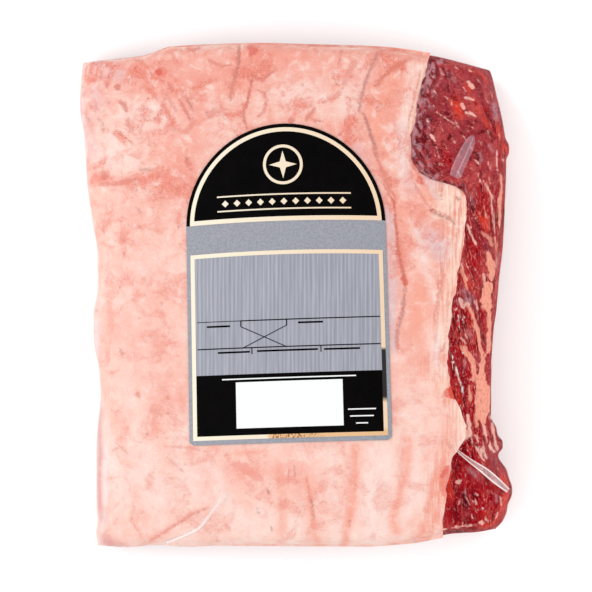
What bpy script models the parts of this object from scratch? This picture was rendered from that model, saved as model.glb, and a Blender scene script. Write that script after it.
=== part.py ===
"""Half a beef striploin, fat cap up, in a tight clear vacuum bag with a label stuck on top.

Run it in Blender: blender --background --python part.py
Metres, +Z up. +X runs from the thin flank side to the thick chine side and +Y along the loin.
The origin is under the middle of the pack, on the surface that it lies on.
"""

import math

import bmesh
import bpy
import numpy as np
from mathutils import Vector, noise

# The meat's four edges seen from above, as smooth curves through (place along, place across).
FLANK_EDGE = ((-0.1255, -0.0968), (-0.0950, -0.0962), (-0.0600, -0.0966), (-0.0300, -0.0985),
              (0.0200, -0.0990), (0.0400, -0.1020), (0.0600, -0.1045), (0.0900, -0.1055),
              (0.1175, -0.1045))
CHINE_EDGE = ((-0.1165, 0.1035), (-0.1060, 0.1045), (-0.0870, 0.1055), (-0.0760, 0.1035),
              (-0.0600, 0.0970), (-0.0300, 0.0972), (0.0050, 0.1008), (0.0350, 0.1035),
              (0.0740, 0.1045), (0.0950, 0.1010), (0.1130, 0.0970))
NEAR_END = ((-0.0968, -0.1255), (-0.0400, -0.1260), (0.0320, -0.1255), (0.0560, -0.1230),
            (0.0780, -0.1185), (0.0900, -0.1175), (0.1035, -0.1165))
FAR_END = ((-0.1045, 0.1175), (-0.0760, 0.1208), (-0.0620, 0.1250), (-0.0200, 0.1262),
           (0.0400, 0.1250), (0.0670, 0.1210), (0.0880, 0.1160), (0.0970, 0.1130))
LENGTH, WIDTH = 0.2405, 0.2000

# Height of the meat across the loin, and how it varies along it.
ACROSS = ((-0.1040, 0.0310), (-0.0700, 0.0400), (-0.0300, 0.0500), (0.0100, 0.0585),
          (0.0500, 0.0645), (0.0750, 0.0655), (0.0950, 0.0600), (0.1060, 0.0540))
ALONG = ((-0.1260, 0.955), (-0.0700, 0.985), (0.0100, 1.000), (0.0800, 0.985), (0.1260, 0.940))

# How far in from each edge the top and the underside are rounded, and how square that round is.
FLANK_ROUND, CHINE_ROUND, END_ROUND = 0.024, 0.017, 0.0075
UNDER_ROUND, UNDER_END_ROUND = 0.011, 0.005
SIDE_SQUARENESS, END_SQUARENESS = 2.3, 3.2

# The bag's side seam: a thin fin round the pack, with lobes where spare film stands out.
FIN_THICKNESS, FIN_REACH = 0.0008, 0.0008
FLANK_FIN_HEIGHT, CHINE_FIN_HEIGHT, END_FIN_HEIGHT = 0.014, 0.022, 0.008
FLANK_LOBES = ((0.1120, 0.0160, 0.0024), (0.0720, 0.0120, 0.0033), (-0.0160, 0.0150, 0.0024),
               (-0.0880, 0.0320, 0.0034), (-0.1230, 0.0080, 0.0020))
CHINE_LOBES = ((0.0735, 0.0040, 0.0014), (-0.0690, 0.0035, 0.0018), (-0.0855, 0.0040, 0.0014),
               (-0.0975, 0.0050, 0.0016))
NEAR_LOBES = ((0.0590, 0.0040, 0.0016),)
FAR_LOBES = ((-0.1000, 0.0200, 0.0006),)

# The fat cap ends at this seam, and stands proud of the lean beyond it.
SEAM = ((-0.1150, 0.0715), (-0.0955, 0.0740), (-0.0805, 0.0765), (-0.0745, 0.0800),
        (-0.0690, 0.0832), (-0.0575, 0.0814), (-0.0465, 0.0762), (-0.0310, 0.0742),
        (-0.0100, 0.0760), (0.0225, 0.0814), (0.0390, 0.0834), (0.0480, 0.0836),
        (0.0535, 0.0785), (0.0575, 0.0660), (0.0620, 0.0593), (0.0680, 0.0563),
        (0.0770, 0.0563), (0.0850, 0.0578), (0.1010, 0.0607), (0.1180, 0.0658))
SEAM_STEP, SEAM_BEVEL = 0.0034, 0.0022

# Folds pressed into the fat: points on the fold, its depth and its half-width.
LONG_FOLD = ((0.0411, 0.118), (0.0362, 0.106), (0.0323, 0.092), (0.0347, 0.085), (0.0426, 0.067),
             (0.0470, 0.047), (0.0475, 0.031), (0.0534, 0.006), (0.0485, -0.018))
FAR_FOLD = ((-0.0275, 0.124), (-0.0285, 0.111), (-0.0315, 0.099))
NEAR_FOLD = ((0.0229, -0.122), (0.0249, -0.109), (0.0264, -0.092), (0.0283, -0.076))
SIDE_FOLD = ((0.0600, -0.030), (0.0560, -0.060), (0.0500, -0.085), (0.0450, -0.108))
FOLDS = ((LONG_FOLD, 0.0016, 0.0042), (FAR_FOLD, 0.0012, 0.0030),
         (NEAR_FOLD, 0.0010, 0.0045), (SIDE_FOLD, 0.0010, 0.0050))

# Creases where the bag's film is gathered: points, height and half-width.
CORNER_CREASE = ((-0.066, -0.125), (-0.051, -0.120), (-0.042, -0.112), (-0.036, -0.100))
CHINE_CREASE = ((0.076, -0.075), (0.087, -0.082), (0.097, -0.090), (0.106, -0.097))
CREASES = ((CORNER_CREASE, 0.0010, 0.0016), (CHINE_CREASE, 0.0014, 0.0018))

# Lumps of the fat under the film, and the muscle's strands on the chine side.
LUMPS = ((0.0011, 0.034), (0.0005, 0.013))
STRAND_HEIGHT, STRAND_SPACING, STRAND_SLANT = 0.0007, 0.0075, 0.22

# The label seen from above: a rectangle under a half-round arch, turned slightly. It bends
# over the slope of the fat, so that its rows look turned more than its sides.
LABEL_WIDTH, LABEL_BODY, LABEL_ARCH, LABEL_CORNER = 0.0982, 0.1085, 0.0487, 0.0022
LABEL_CENTRE = (-0.0054, 0.0361)
ROW_TURN, SIDE_TURN = math.radians(2.5), math.radians(1.7)
LABEL_THICKNESS, LABEL_GAP, LABEL_MARGIN = 0.0004, 0.0004, 0.008
CORNER_LINES, BODY_LINES, ARCH_LINES, LABEL_COLUMNS = 4, 14, 14, 14
ARCH_SHARE = 0.97

# Grid lines of the body: through each rounded side and end, and between them.
SIDE_LINES, END_LINES, MIDDLE_COLUMNS, MIDDLE_ROWS = 7, 6, 36, 52
CROWDING = 0.30
FLAT_WITHIN = 1e-6


def through(knots, at):
    """Smooth curve through the knots without overshoot, held level past its ends."""
    place, value = np.array(knots, float).T
    step, rise = np.diff(place), np.diff(value)
    slope = rise / step
    same_way = slope[1:] * slope[:-1] > 0
    both = np.where(same_way, slope[1:] + slope[:-1], 1.0)
    inner = np.where(same_way, 2 * slope[1:] * slope[:-1] / both, 0.0)
    tangent = np.concatenate([slope[:1], inner, slope[-1:]])
    at = np.clip(at, place[0], place[-1])
    i = np.clip(np.searchsorted(place, at) - 1, 0, len(step) - 1)
    t = (at - place[i]) / step[i]
    start, end = value[i], value[i + 1]
    pull = step[i] * (tangent[i] * t * (1 - t) ** 2 - tangent[i + 1] * t * t * (1 - t))
    return start + (end - start) * t * t * (3 - 2 * t) + pull


def smooth(t):
    """0 below 0, 1 above 1, and an even turn between."""
    t = np.clip(t, 0, 1)
    return t * t * (3 - 2 * t)


def away_from(path, x, y):
    """Distance in plan from each point to a line of points."""
    nearest = np.full(np.shape(x), np.inf)
    for (ax, ay), (bx, by) in zip(path, path[1:]):
        run = (bx - ax) ** 2 + (by - ay) ** 2
        t = np.clip(((x - ax) * (bx - ax) + (y - ay) * (by - ay)) / run, 0, 1)
        nearest = np.minimum(nearest, np.hypot(x - ax - t * (bx - ax), y - ay - t * (by - ay)))
    return nearest


def lumps(x, y, height, spacing):
    """Soft noise of one size, from -height to height."""
    flat = [noise.noise(Vector((a / spacing, b / spacing, 0))) for a, b in zip(x.flat, y.flat)]
    return height * np.array(flat).reshape(x.shape)


def plan(u, v):
    """Place seen from above: u from flank to chine, v from near end to far end, 0 and 1 at the edges."""
    low, high = FLANK_EDGE[0], FLANK_EDGE[-1]
    low_c, high_c = CHINE_EDGE[0], CHINE_EDGE[-1]
    flank_y, chine_y = low[0] + v * (high[0] - low[0]), low_c[0] + v * (high_c[0] - low_c[0])
    near_x, far_x = low[1] + u * (low_c[1] - low[1]), high[1] + u * (high_c[1] - high[1])
    x = (1 - u) * through(FLANK_EDGE, flank_y) + u * through(CHINE_EDGE, chine_y)
    y = (1 - v) * through(NEAR_END, near_x) + v * through(FAR_END, far_x)
    # The blend of the other pair, less the corners that both pairs count
    x += (1 - v) * near_x + v * far_x
    x -= (1 - v) * ((1 - u) * low[1] + u * low_c[1]) + v * ((1 - u) * high[1] + u * high_c[1])
    y += (1 - u) * flank_y + u * chine_y
    y -= (1 - v) * ((1 - u) * low[0] + u * low_c[0]) + v * ((1 - u) * high[0] + u * high_c[0])
    return x, y


def under_label(x, y):
    """1 where the label lies flat on the fat, 0 past its margin."""
    dx, dy = x - LABEL_CENTRE[0], y - LABEL_CENTRE[1]
    across, up = abs(dx + dy * math.sin(SIDE_TURN)), dy - dx * math.sin(ROW_TURN)
    arch = np.hypot(across, np.maximum(up, 0) * LABEL_WIDTH / 2 / LABEL_ARCH) - LABEL_WIDTH / 2
    outside = np.maximum(arch, -LABEL_BODY - up)
    return 1 - smooth(outside / LABEL_MARGIN)


def top_height(x, y):
    """Height of the film over the meat, before the edges round it off."""
    height = through(ACROSS, x) * through(ALONG, y)
    past_seam = x - through(SEAM, y)
    height -= SEAM_STEP * smooth(past_seam / SEAM_BEVEL / 2 + 0.5)
    relief = sum(lumps(x, y, *each) for each in LUMPS)
    for path, depth, half_width in FOLDS:
        relief -= depth * np.exp(-((away_from(path, x, y) / half_width) ** 2))
    lean = smooth(past_seam / SEAM_BEVEL)
    strand = np.sin((x + STRAND_SLANT * y) / STRAND_SPACING * 2 * math.pi)
    relief += STRAND_HEIGHT * lean * strand
    height += relief * (1 - under_label(x, y))
    for path, rise, half_width in CREASES:
        height += rise * np.exp(-((away_from(path, x, y) / half_width) ** 2))
    return height


def lobed(lobes, at):
    """How far the fin reaches out, with each lobe's centre, half-length and extra reach."""
    return FIN_REACH + sum(
        reach * np.exp(-(((at - centre) / half) ** 4)) for centre, half, reach in lobes
    )


def rounded_lines(size, first, last, lines, middle, crowding=0.0):
    """Places of grid lines across one direction as shares of its size, close together
    through the rounds at both ends. Crowding draws the middle ones towards the last end."""
    angle = np.linspace(0, math.pi / 2, lines + 1)
    start = first * (1 - np.cos(angle)) / size
    end = 1 - last * (1 - np.cos(angle[::-1])) / size
    t = np.linspace(0, 1, middle + 1)[1:-1]
    t = t + crowding * t * (1 - t)
    return np.concatenate([start, start[-1] + t * (end[0] - start[-1]), end])


def rise_of(distance, round_size, squareness):
    """Share of the full height at this distance in from an edge."""
    short = 1 - np.clip(distance / round_size, 0, 1)
    return (1 - short**squareness) ** (1 / squareness)


def grid_of(lines_u, lines_v):
    """u and v of each grid point, with one more line all round for the outer edge of the fin."""
    u, v = np.meshgrid(np.pad(lines_u, 1, "edge"), np.pad(lines_v, 1, "edge"), indexing="ij")
    x, y = plan(u, v)
    u[0] -= lobed(FLANK_LOBES, y[0]) / WIDTH
    u[-1] += lobed(CHINE_LOBES, y[-1]) / WIDTH
    v[:, 0] -= lobed(NEAR_LOBES, x[:, 0]) / LENGTH
    v[:, -1] += lobed(FAR_LOBES, x[:, -1]) / LENGTH
    return u, v


def fin_height(u, v):
    """Height of the seam fin: level with the middle of each side, and lower along the ends."""
    side = FLANK_FIN_HEIGHT + (CHINE_FIN_HEIGHT - FLANK_FIN_HEIGHT) * smooth(u)
    from_end = np.minimum(v, 1 - v) * LENGTH
    return END_FIN_HEIGHT + (side - END_FIN_HEIGHT) * smooth(from_end / (3 * END_ROUND))


def body_sheets():
    """Points of the body's top and underside on one grid, which share their outline in plan."""
    lines_u = rounded_lines(WIDTH, FLANK_ROUND, CHINE_ROUND, SIDE_LINES, MIDDLE_COLUMNS, CROWDING)
    lines_v = rounded_lines(LENGTH, END_ROUND, END_ROUND, END_LINES, MIDDLE_ROWS)
    u, v = grid_of(lines_u, lines_v)
    x, y = plan(u, v)
    from_flank, from_chine = np.maximum(u, 0) * WIDTH, np.maximum(1 - u, 0) * WIDTH
    from_end = np.maximum(np.minimum(v, 1 - v), 0) * LENGTH
    over = rise_of(from_flank, FLANK_ROUND, SIDE_SQUARENESS)
    over = over * rise_of(from_chine, CHINE_ROUND, SIDE_SQUARENESS)
    over = over * rise_of(from_end, END_ROUND, END_SQUARENESS)
    from_side = np.minimum(from_flank, from_chine)
    below = rise_of(from_side, UNDER_ROUND, SIDE_SQUARENESS)
    below = below * rise_of(from_end, UNDER_END_ROUND, SIDE_SQUARENESS)
    middle = fin_height(u, v)
    upper, lower = middle + FIN_THICKNESS / 2, middle - FIN_THICKNESS / 2
    top = np.stack([x, y, upper + (top_height(x, y) - upper) * over], axis=-1)
    return top, np.stack([x, y, lower * (1 - below)], axis=-1)


def add_sheet(mesh, points, facing_up):
    """Adds a grid of points as quads and returns its vertices."""
    vertices = [[mesh.verts.new(p) for p in row] for row in points]
    for i in range(len(vertices) - 1):
        for j in range(len(vertices[0]) - 1):
            corners = [vertices[i][j], vertices[i + 1][j], vertices[i + 1][j + 1], vertices[i][j + 1]]
            mesh.faces.new(corners if facing_up else corners[::-1])
    return vertices


def rim_of(vertices):
    """The grid's outer vertices in order."""
    first, last = vertices[0], vertices[-1]
    up_side = [row[-1] for row in vertices[1:-1]]
    down_side = [row[0] for row in vertices[1:-1]]
    return first + up_side + last[::-1] + down_side[::-1]


def close_rims(mesh, top, bottom):
    """Joins the outer edges of two sheets with a thin wall."""
    upper, lower = rim_of(top), rim_of(bottom)
    for i, corner in enumerate(upper):
        mesh.faces.new([lower[i], lower[i - 1], upper[i - 1], corner])


def material(name, colour, roughness, metallic=0.0):
    made = bpy.data.materials.new(name)
    made.use_nodes = True
    shader = made.node_tree.nodes["Principled BSDF"]
    shader.inputs["Base Color"].default_value = (*colour, 1)
    shader.inputs["Roughness"].default_value = roughness
    shader.inputs["Metallic"].default_value = metallic
    return made


def finish(name, mesh, made_of):
    """Turns the bmesh into a named, smooth-shaded object."""
    bmesh.ops.recalc_face_normals(mesh, faces=mesh.faces)
    data = bpy.data.meshes.new(name)
    mesh.to_mesh(data)
    mesh.free()
    data.shade_smooth()
    data.set_sharp_from_angle(angle=math.radians(40))
    data.materials.append(made_of)
    made = bpy.data.objects.new(name, data)
    bpy.context.scene.collection.objects.link(made)
    return made


def make_pack(top, bottom):
    """The bag and the meat that fills it, as one body: the film clings to the meat all over."""
    mesh = bmesh.new()
    upper = add_sheet(mesh, top, facing_up=True)
    lower = add_sheet(mesh, bottom, facing_up=False)
    close_rims(mesh, upper, lower)
    flat = [e for e in mesh.edges if all(
        abs(corner.co.z) < FLAT_WITHIN for face in e.link_faces for corner in face.verts
    )]
    bmesh.ops.dissolve_edges(mesh, edges=flat, use_verts=True)
    return finish("vacuum_pack", mesh, material("film_over_beef", (0.92, 0.58, 0.52), 0.25))


def label_rows():
    """Height of each row of the label over the foot of its arch, and its half-width there."""
    corner = np.linspace(0, math.pi / 2, CORNER_LINES + 1)
    arch = np.linspace(0, math.pi / 2 * ARCH_SHARE, ARCH_LINES + 1)
    body = np.linspace(LABEL_CORNER - LABEL_BODY, 0, BODY_LINES + 1)[1:-1]
    rows = [LABEL_CORNER * (1 - np.cos(corner)) - LABEL_BODY, body, LABEL_ARCH * np.sin(arch)]
    half = [LABEL_WIDTH / 2 - LABEL_CORNER * (1 - np.sin(corner)),
            np.full(len(body), LABEL_WIDTH / 2), LABEL_WIDTH / 2 * np.cos(arch)]
    return np.concatenate(rows), np.concatenate(half)


def make_label(middle):
    """The paper label, bent to the fat that it lies on."""
    rows, half = label_rows()
    across = np.linspace(-1, 1, LABEL_COLUMNS + 1)[:, None] * half
    x = LABEL_CENTRE[0] + across - rows * math.sin(SIDE_TURN)
    y = LABEL_CENTRE[1] + across * math.sin(ROW_TURN) + rows
    mesh = bmesh.new()
    points = np.stack([x, y, top_height(x, y) + LABEL_GAP], axis=-1) - middle
    add_sheet(mesh, points, facing_up=True)
    label = finish("label", mesh, material("silver_label", (0.40, 0.41, 0.46), 0.35, 0.6))
    paper = label.modifiers.new("paper", "SOLIDIFY")
    paper.thickness = LABEL_THICKNESS
    paper.offset = 1
    return label


def main():
    for thing in list(bpy.data.objects):
        bpy.data.objects.remove(thing, do_unlink=True)
    top, bottom = body_sheets()
    corners = top.reshape(-1, 3)
    middle = (corners.min(axis=0) + corners.max(axis=0)) / 2 * (1, 1, 0)
    make_pack(top - middle, bottom - middle)
    make_label(middle)


main()
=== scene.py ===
"""Vacuum-packed beef striploin, fat cap up: clear film drawn tight over the fat cap and over the
lean that shows along the chine side, with an arched label stuck on top. All sizes are in metres:
+X runs from the thin flank to the chine, +Y along the loin to the label's arch, +Z up."""

import math

import bpy
import numpy as np
from mathutils import Matrix, Vector, noise


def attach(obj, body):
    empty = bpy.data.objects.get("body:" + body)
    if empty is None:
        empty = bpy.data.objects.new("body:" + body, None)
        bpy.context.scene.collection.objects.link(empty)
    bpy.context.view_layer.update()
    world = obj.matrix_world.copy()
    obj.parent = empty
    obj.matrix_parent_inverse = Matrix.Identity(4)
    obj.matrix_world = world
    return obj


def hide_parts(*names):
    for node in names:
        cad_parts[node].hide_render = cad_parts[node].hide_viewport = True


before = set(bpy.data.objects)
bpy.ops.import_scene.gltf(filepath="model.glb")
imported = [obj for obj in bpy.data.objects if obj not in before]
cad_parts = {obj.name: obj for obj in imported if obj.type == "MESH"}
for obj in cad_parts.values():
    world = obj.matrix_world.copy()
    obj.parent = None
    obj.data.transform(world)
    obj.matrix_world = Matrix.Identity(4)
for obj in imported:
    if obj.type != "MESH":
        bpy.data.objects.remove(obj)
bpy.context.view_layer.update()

# The pack's outline, heights and folds, as in the part's source.
FLANK_EDGE = ((-0.1255, -0.0968), (-0.0950, -0.0962), (-0.0600, -0.0966), (-0.0300, -0.0985),
              (0.0200, -0.0990), (0.0400, -0.1020), (0.0600, -0.1045), (0.0900, -0.1055),
              (0.1175, -0.1045))                       # (Y, X)
CHINE_EDGE = ((-0.1165, 0.0998), (-0.1120, 0.1032), (-0.1060, 0.1053), (-0.0970, 0.1066),
              (-0.0870, 0.1049), (-0.0795, 0.1006), (-0.0740, 0.1006), (-0.0660, 0.0998),
              (-0.0600, 0.0970), (-0.0300, 0.0972), (0.0050, 0.1008), (0.0350, 0.1035),
              (0.0740, 0.1045), (0.0950, 0.1010), (0.1130, 0.0970))   # (Y, X)
NEAR_END = ((-0.0968, -0.1255), (-0.0850, -0.1257), (-0.0700, -0.1245), (-0.0540, -0.1252),
            (-0.0400, -0.1245), (0.0320, -0.1243), (0.0560, -0.1225), (0.0780, -0.1183),
            (0.0900, -0.1177), (0.0998, -0.1165))       # (X, Y)
FAR_END = ((-0.1045, 0.1175), (-0.0760, 0.1205), (-0.0620, 0.1248), (-0.0200, 0.1260),
           (0.0100, 0.1250), (0.0400, 0.1238), (0.0670, 0.1198), (0.0880, 0.1148),
           (0.0970, 0.1130))                            # (X, Y)
RECENTRED = (0.00096, -0.00010, 0.0)     # what the source moves the finished pack by
LENGTH, WIDTH = 0.2405, 0.2000
ACROSS = ((-0.1040, 0.0310), (-0.0700, 0.0400), (-0.0300, 0.0500), (0.0100, 0.0585),
          (0.0500, 0.0645), (0.0750, 0.0655), (0.0950, 0.0600), (0.1060, 0.0540))   # (X, height)
ALONG = ((-0.1260, 0.955), (-0.0700, 0.985), (0.0100, 1.000), (0.0800, 0.985), (0.1260, 0.940))
FLANK_ROUND, CHINE_ROUND, END_ROUND = 0.024, 0.017, 0.0075
UNDER_ROUND, UNDER_END_ROUND = 0.011, 0.005
SIDE_SQUARENESS, END_SQUARENESS = 2.3, 3.2    # the meat's cut ends are squarer than the source's
FIN_THICKNESS, FIN_REACH = 0.0008, 0.0008
FLANK_FIN_HEIGHT, CHINE_FIN_HEIGHT, END_FIN_HEIGHT = 0.014, 0.022, 0.008
FLANK_LOBES = ((0.1060, 0.0210, 0.0024), (-0.0160, 0.0150, 0.0024), (-0.0880, 0.0320, 0.0034),
               (-0.1230, 0.0080, 0.0020))   # (place, half, reach)
FLANK_FLAP = (0.0660, 0.0080, 0.0034)    # a lobe of bare film
CHINE_LOBES = ((0.0735, 0.0040, 0.0014), (-0.0740, 0.0035, 0.0022), (-0.0975, 0.0050, 0.0008))
NEAR_LOBES = ((0.0590, 0.0040, 0.0016), (-0.0960, 0.0060, 0.0016))
FAR_LOBES = ((-0.1000, 0.0200, 0.0006),)
SEAM = ((-0.1150, 0.0715), (-0.0955, 0.0740), (-0.0805, 0.0765), (-0.0745, 0.0800),
        (-0.0690, 0.0832), (-0.0575, 0.0814), (-0.0465, 0.0762), (-0.0310, 0.0742),
        (-0.0100, 0.0760), (0.0225, 0.0814), (0.0390, 0.0834), (0.0480, 0.0836),
        (0.0535, 0.0785), (0.0575, 0.0660), (0.0620, 0.0593), (0.0680, 0.0563),
        (0.0770, 0.0563), (0.0850, 0.0578), (0.1010, 0.0607), (0.1180, 0.0658))   # (Y, X)
SEAM_STEP, SEAM_BEVEL = 0.0024, 0.0022
LONG_FOLD = ((0.0411, 0.118), (0.0362, 0.106), (0.0323, 0.092), (0.0347, 0.085), (0.0426, 0.067),
             (0.0470, 0.047), (0.0475, 0.031), (0.0534, 0.006), (0.0485, -0.018))
FAR_FOLD = ((-0.0275, 0.124), (-0.0285, 0.111), (-0.0315, 0.099))
NEAR_FOLD = ((0.0229, -0.122), (0.0249, -0.109), (0.0264, -0.092), (0.0283, -0.076))
SIDE_FOLD = ((0.0600, -0.030), (0.0560, -0.060), (0.0500, -0.085), (0.0450, -0.108))
FOLDS = ((LONG_FOLD, 0.0016, 0.0042), (FAR_FOLD, 0.0012, 0.0030),
         (NEAR_FOLD, 0.0010, 0.0045), (SIDE_FOLD, 0.0010, 0.0050))     # (path, depth, half width)
CORNER_CREASE = ((-0.066, -0.125), (-0.051, -0.120), (-0.042, -0.112), (-0.036, -0.100))
CHINE_CREASE = ((0.076, -0.075), (0.087, -0.082), (0.097, -0.090), (0.106, -0.097))
CREASES = ((CORNER_CREASE, 0.0010, 0.0016), (CHINE_CREASE, 0.0014, 0.0018))
LUMPS = ((0.0011, 0.034), (0.0005, 0.013))             # (height, spacing)
STRAND_HEIGHT, STRAND_SPACING, STRAND_SLANT = 0.0007, 0.0075, 0.22
LABEL_WIDTH, LABEL_BODY, LABEL_ARCH, LABEL_CORNER = 0.0982, 0.1085, 0.0487, 0.0022
LABEL_CENTRE = (-0.0054, 0.0363)
ROW_TURN, SIDE_TURN = math.radians(2.1), math.radians(1.7)
LEFT_FLARE = 0.0154                      # the label's left side runs out by this share of its height
ROW_FLATTER, ROW_BEND = -0.009, (0.10, 0.52)   # its rows turn less and bend more at the arch
LABEL_MARGIN = 0.008

# What lies under the film.
SKIN = 0.0003                       # film to meat
BARE_RIM = 0.0003                   # how much of the rim's lobes the body leaves bare
TONGUE = 0.0002                     # half the thickness of the meat that is squeezed into the rim
CAP_GROWTH, CAP_RUN = 0.0075, 0.030  # how much thicker the fat cap gets away from the seam
CAP_WAVE = (0.0016, 0.021)          # its lower edge's unevenness (height, spacing)
CAP_END = 0.0001                    # how far inside the film the cap's cut ends stop
WRAP_START, WRAP_END, WRAP_LOW = 0.003, 0.022, 0.004   # the cap curls under at the flank
LEAN_START = 0.005
TUCK = 0.0004                       # the cap's underside is pressed this far into the lean
LEAN_LOWER = 0.00015                # the lean lies this much lower, so that the cap's lip shows
FIBROUS = 0.014                     # how far from the seam the cap's fibres show
SEAM_RAG = ((0.0010, 0.0075), (0.0005, 0.0026))
FINE_FAT = ((0.00022, 0.0060), (0.00010, 0.0026))
FINE_LEAN = ((0.00045, 0.0046), (0.00025, 0.0021))     # in strands, drawn out along the loin
STRAND_STRETCH = 0.30
STRANDS_END = 0.055                 # the far block is cut across, and has no long strands
FILM_LUMPS = ((0.00010, 0.0036), (0.00020, 0.0090))
FLAT_FOOT = -0.9998                 # faces that look down more squarely than this are shaded flat


def through(knots, at):
    """Smooth curve through the knots without overshoot, held level past its ends."""
    place, value = np.array(knots, float).T
    step, rise = np.diff(place), np.diff(value)
    slope = rise / step
    same_way = slope[1:] * slope[:-1] > 0
    both = np.where(same_way, slope[1:] + slope[:-1], 1.0)
    inner = np.where(same_way, 2 * slope[1:] * slope[:-1] / both, 0.0)
    tangent = np.concatenate([slope[:1], inner, slope[-1:]])
    at = np.clip(at, place[0], place[-1])
    i = np.clip(np.searchsorted(place, at) - 1, 0, len(step) - 1)
    t = (at - place[i]) / step[i]
    start, end = value[i], value[i + 1]
    pull = step[i] * (tangent[i] * t * (1 - t) ** 2 - tangent[i + 1] * t * t * (1 - t))
    return start + (end - start) * t * t * (3 - 2 * t) + pull


def smooth(t):
    t = np.clip(t, 0, 1)
    return t * t * (3 - 2 * t)


def along_path(path, x, y):
    """Distance in plan from each point to a line of points, and how far along it that is."""
    nearest, share = np.full(np.shape(x), np.inf), np.zeros(np.shape(x))
    steps = np.cumsum([0] + [math.dist(a, b) for a, b in zip(path, path[1:])])
    for n, ((ax, ay), (bx, by)) in enumerate(zip(path, path[1:])):
        run = (bx - ax) ** 2 + (by - ay) ** 2
        t = np.clip(((x - ax) * (bx - ax) + (y - ay) * (by - ay)) / run, 0, 1)
        gap = np.hypot(x - ax - t * (bx - ax), y - ay - t * (by - ay))
        share = np.where(gap < nearest, (steps[n] + t * (steps[n + 1] - steps[n])) / steps[-1], share)
        nearest = np.minimum(nearest, gap)
    return nearest, share


def away_from(path, x, y):
    return along_path(path, x, y)[0]


def tapered(path, half_width, x, y):
    """Distance from a stroke's middle line, and its half width there: it thins out to its ends."""
    gap, share = along_path(path, x, y)
    return gap, half_width * (0.3 + 0.75 * np.clip(4 * share * (1 - share), 0, 1) ** 0.3)


def lumps(x, y, height, spacing, z=0.0):
    """Smooth random lumps of a height and spacing."""
    x, y, z = np.broadcast_arrays(np.asarray(x, float) / spacing, np.asarray(y) / spacing,
                                  np.asarray(z) / spacing)
    flat = [noise.noise(Vector(p)) for p in zip(x.flat, y.flat, z.flat)]
    return height * np.array(flat).reshape(x.shape)


def plan(u, v):
    """Place in plan of the point u of the way from flank to chine and v from near to far end."""
    low, high = FLANK_EDGE[0], FLANK_EDGE[-1]
    low_c, high_c = CHINE_EDGE[0], CHINE_EDGE[-1]
    flank_y, chine_y = low[0] + v * (high[0] - low[0]), low_c[0] + v * (high_c[0] - low_c[0])
    near_x, far_x = low[1] + u * (low_c[1] - low[1]), high[1] + u * (high_c[1] - high[1])
    x = (1 - u) * through(FLANK_EDGE, flank_y) + u * through(CHINE_EDGE, chine_y)
    y = (1 - v) * through(NEAR_END, near_x) + v * through(FAR_END, far_x)
    x += (1 - v) * near_x + v * far_x
    x -= (1 - v) * ((1 - u) * low[1] + u * low_c[1]) + v * ((1 - u) * high[1] + u * high_c[1])
    y += (1 - u) * flank_y + u * chine_y
    y -= (1 - v) * ((1 - u) * low[0] + u * low_c[0]) + v * ((1 - u) * high[0] + u * high_c[0])
    return x, y


def under_label(x, y):
    """1 where the label lies, falling to 0 over its margin: there the film is pressed smooth."""
    dx, dy = x - LABEL_CENTRE[0], y - LABEL_CENTRE[1]
    across, up = abs(dx + dy * math.sin(SIDE_TURN)), dy - dx * math.sin(ROW_TURN)
    arch = np.hypot(across, np.maximum(up, 0) * LABEL_WIDTH / 2 / LABEL_ARCH) - LABEL_WIDTH / 2
    outside = np.maximum(arch, -LABEL_BODY - up)
    return 1 - smooth(outside / LABEL_MARGIN)


def past_seam(x, y):
    """How far a point lies past the edge of the fat cap, towards the chine."""
    return x - through(SEAM, y)


def cap_height(x, y, smooth_only=False):
    """Height of the fat cap's surface, carried on over the lean without the step at the seam."""
    height = through(ACROSS, x) * through(ALONG, y)
    relief = sum(lumps(x, y, *each) for each in LUMPS)
    for path, depth, half_width in FOLDS:
        relief -= depth * np.exp(-((away_from(path, x, y) / half_width) ** 2))
    over_lean = smooth(past_seam(x, y) / SEAM_BEVEL)
    strand = np.sin((x + STRAND_SLANT * y) / STRAND_SPACING * 2 * math.pi)
    relief += STRAND_HEIGHT * over_lean * strand * smooth((STRANDS_END - y) / 0.02)
    if not smooth_only:
        relief += fine_relief(x, y, over_lean)
    return height + relief * (1 - under_label(x, y))


def fine_relief(x, y, over_lean):
    """The fat's own pitting and the lean's bundles of fibres."""
    pitting = sum(lumps(x, y, *each) for each in FINE_FAT)
    fibres = sum(lumps(x, y * STRAND_STRETCH, *each) for each in FINE_LEAN)
    for name, depth in CUTS.items():
        pitting -= depth * carved(FAT_MARKS[name], x, y)
    for name, height in RIDGES.items():
        fibres += height * carved(LEAN_MARKS[name], x, y)
    return pitting * (1 - over_lean) + fibres * over_lean


def carved(marks, x, y):
    """How far marks are cut in or stand up, each with its own strength, softly at the edges."""
    relief = np.zeros(np.shape(x))
    for strength, half_width, *places in marks:
        gap, half = tapered(path_of(places), half_width * MM, x, y)
        relief = np.maximum(relief, strength * np.exp(-((gap / np.maximum(half, FINEST_MARK)) ** 2)))
    return relief


def top_height(x, y, smooth_only=False):
    """Height of the film over the meat."""
    height = cap_height(x, y, smooth_only)
    height -= SEAM_STEP * smooth(past_seam(x, y) / SEAM_BEVEL / 2 + 0.5)
    for path, rise, half_width in CREASES:
        height += rise * np.exp(-((away_from(path, x, y) / half_width) ** 2))
    return height


def rise_of(distance, round_size, squareness):
    """Share of the full height that a rounded edge has reached this far in."""
    short = 1 - np.clip(distance / round_size, 0, 1)
    return (1 - short**squareness) ** (1 / squareness)


def fin_height(u, v):
    side = FLANK_FIN_HEIGHT + (CHINE_FIN_HEIGHT - FLANK_FIN_HEIGHT) * smooth(u)
    from_end = np.minimum(v, 1 - v) * LENGTH
    return END_FIN_HEIGHT + (side - END_FIN_HEIGHT) * smooth(from_end / (3 * END_ROUND))


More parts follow.
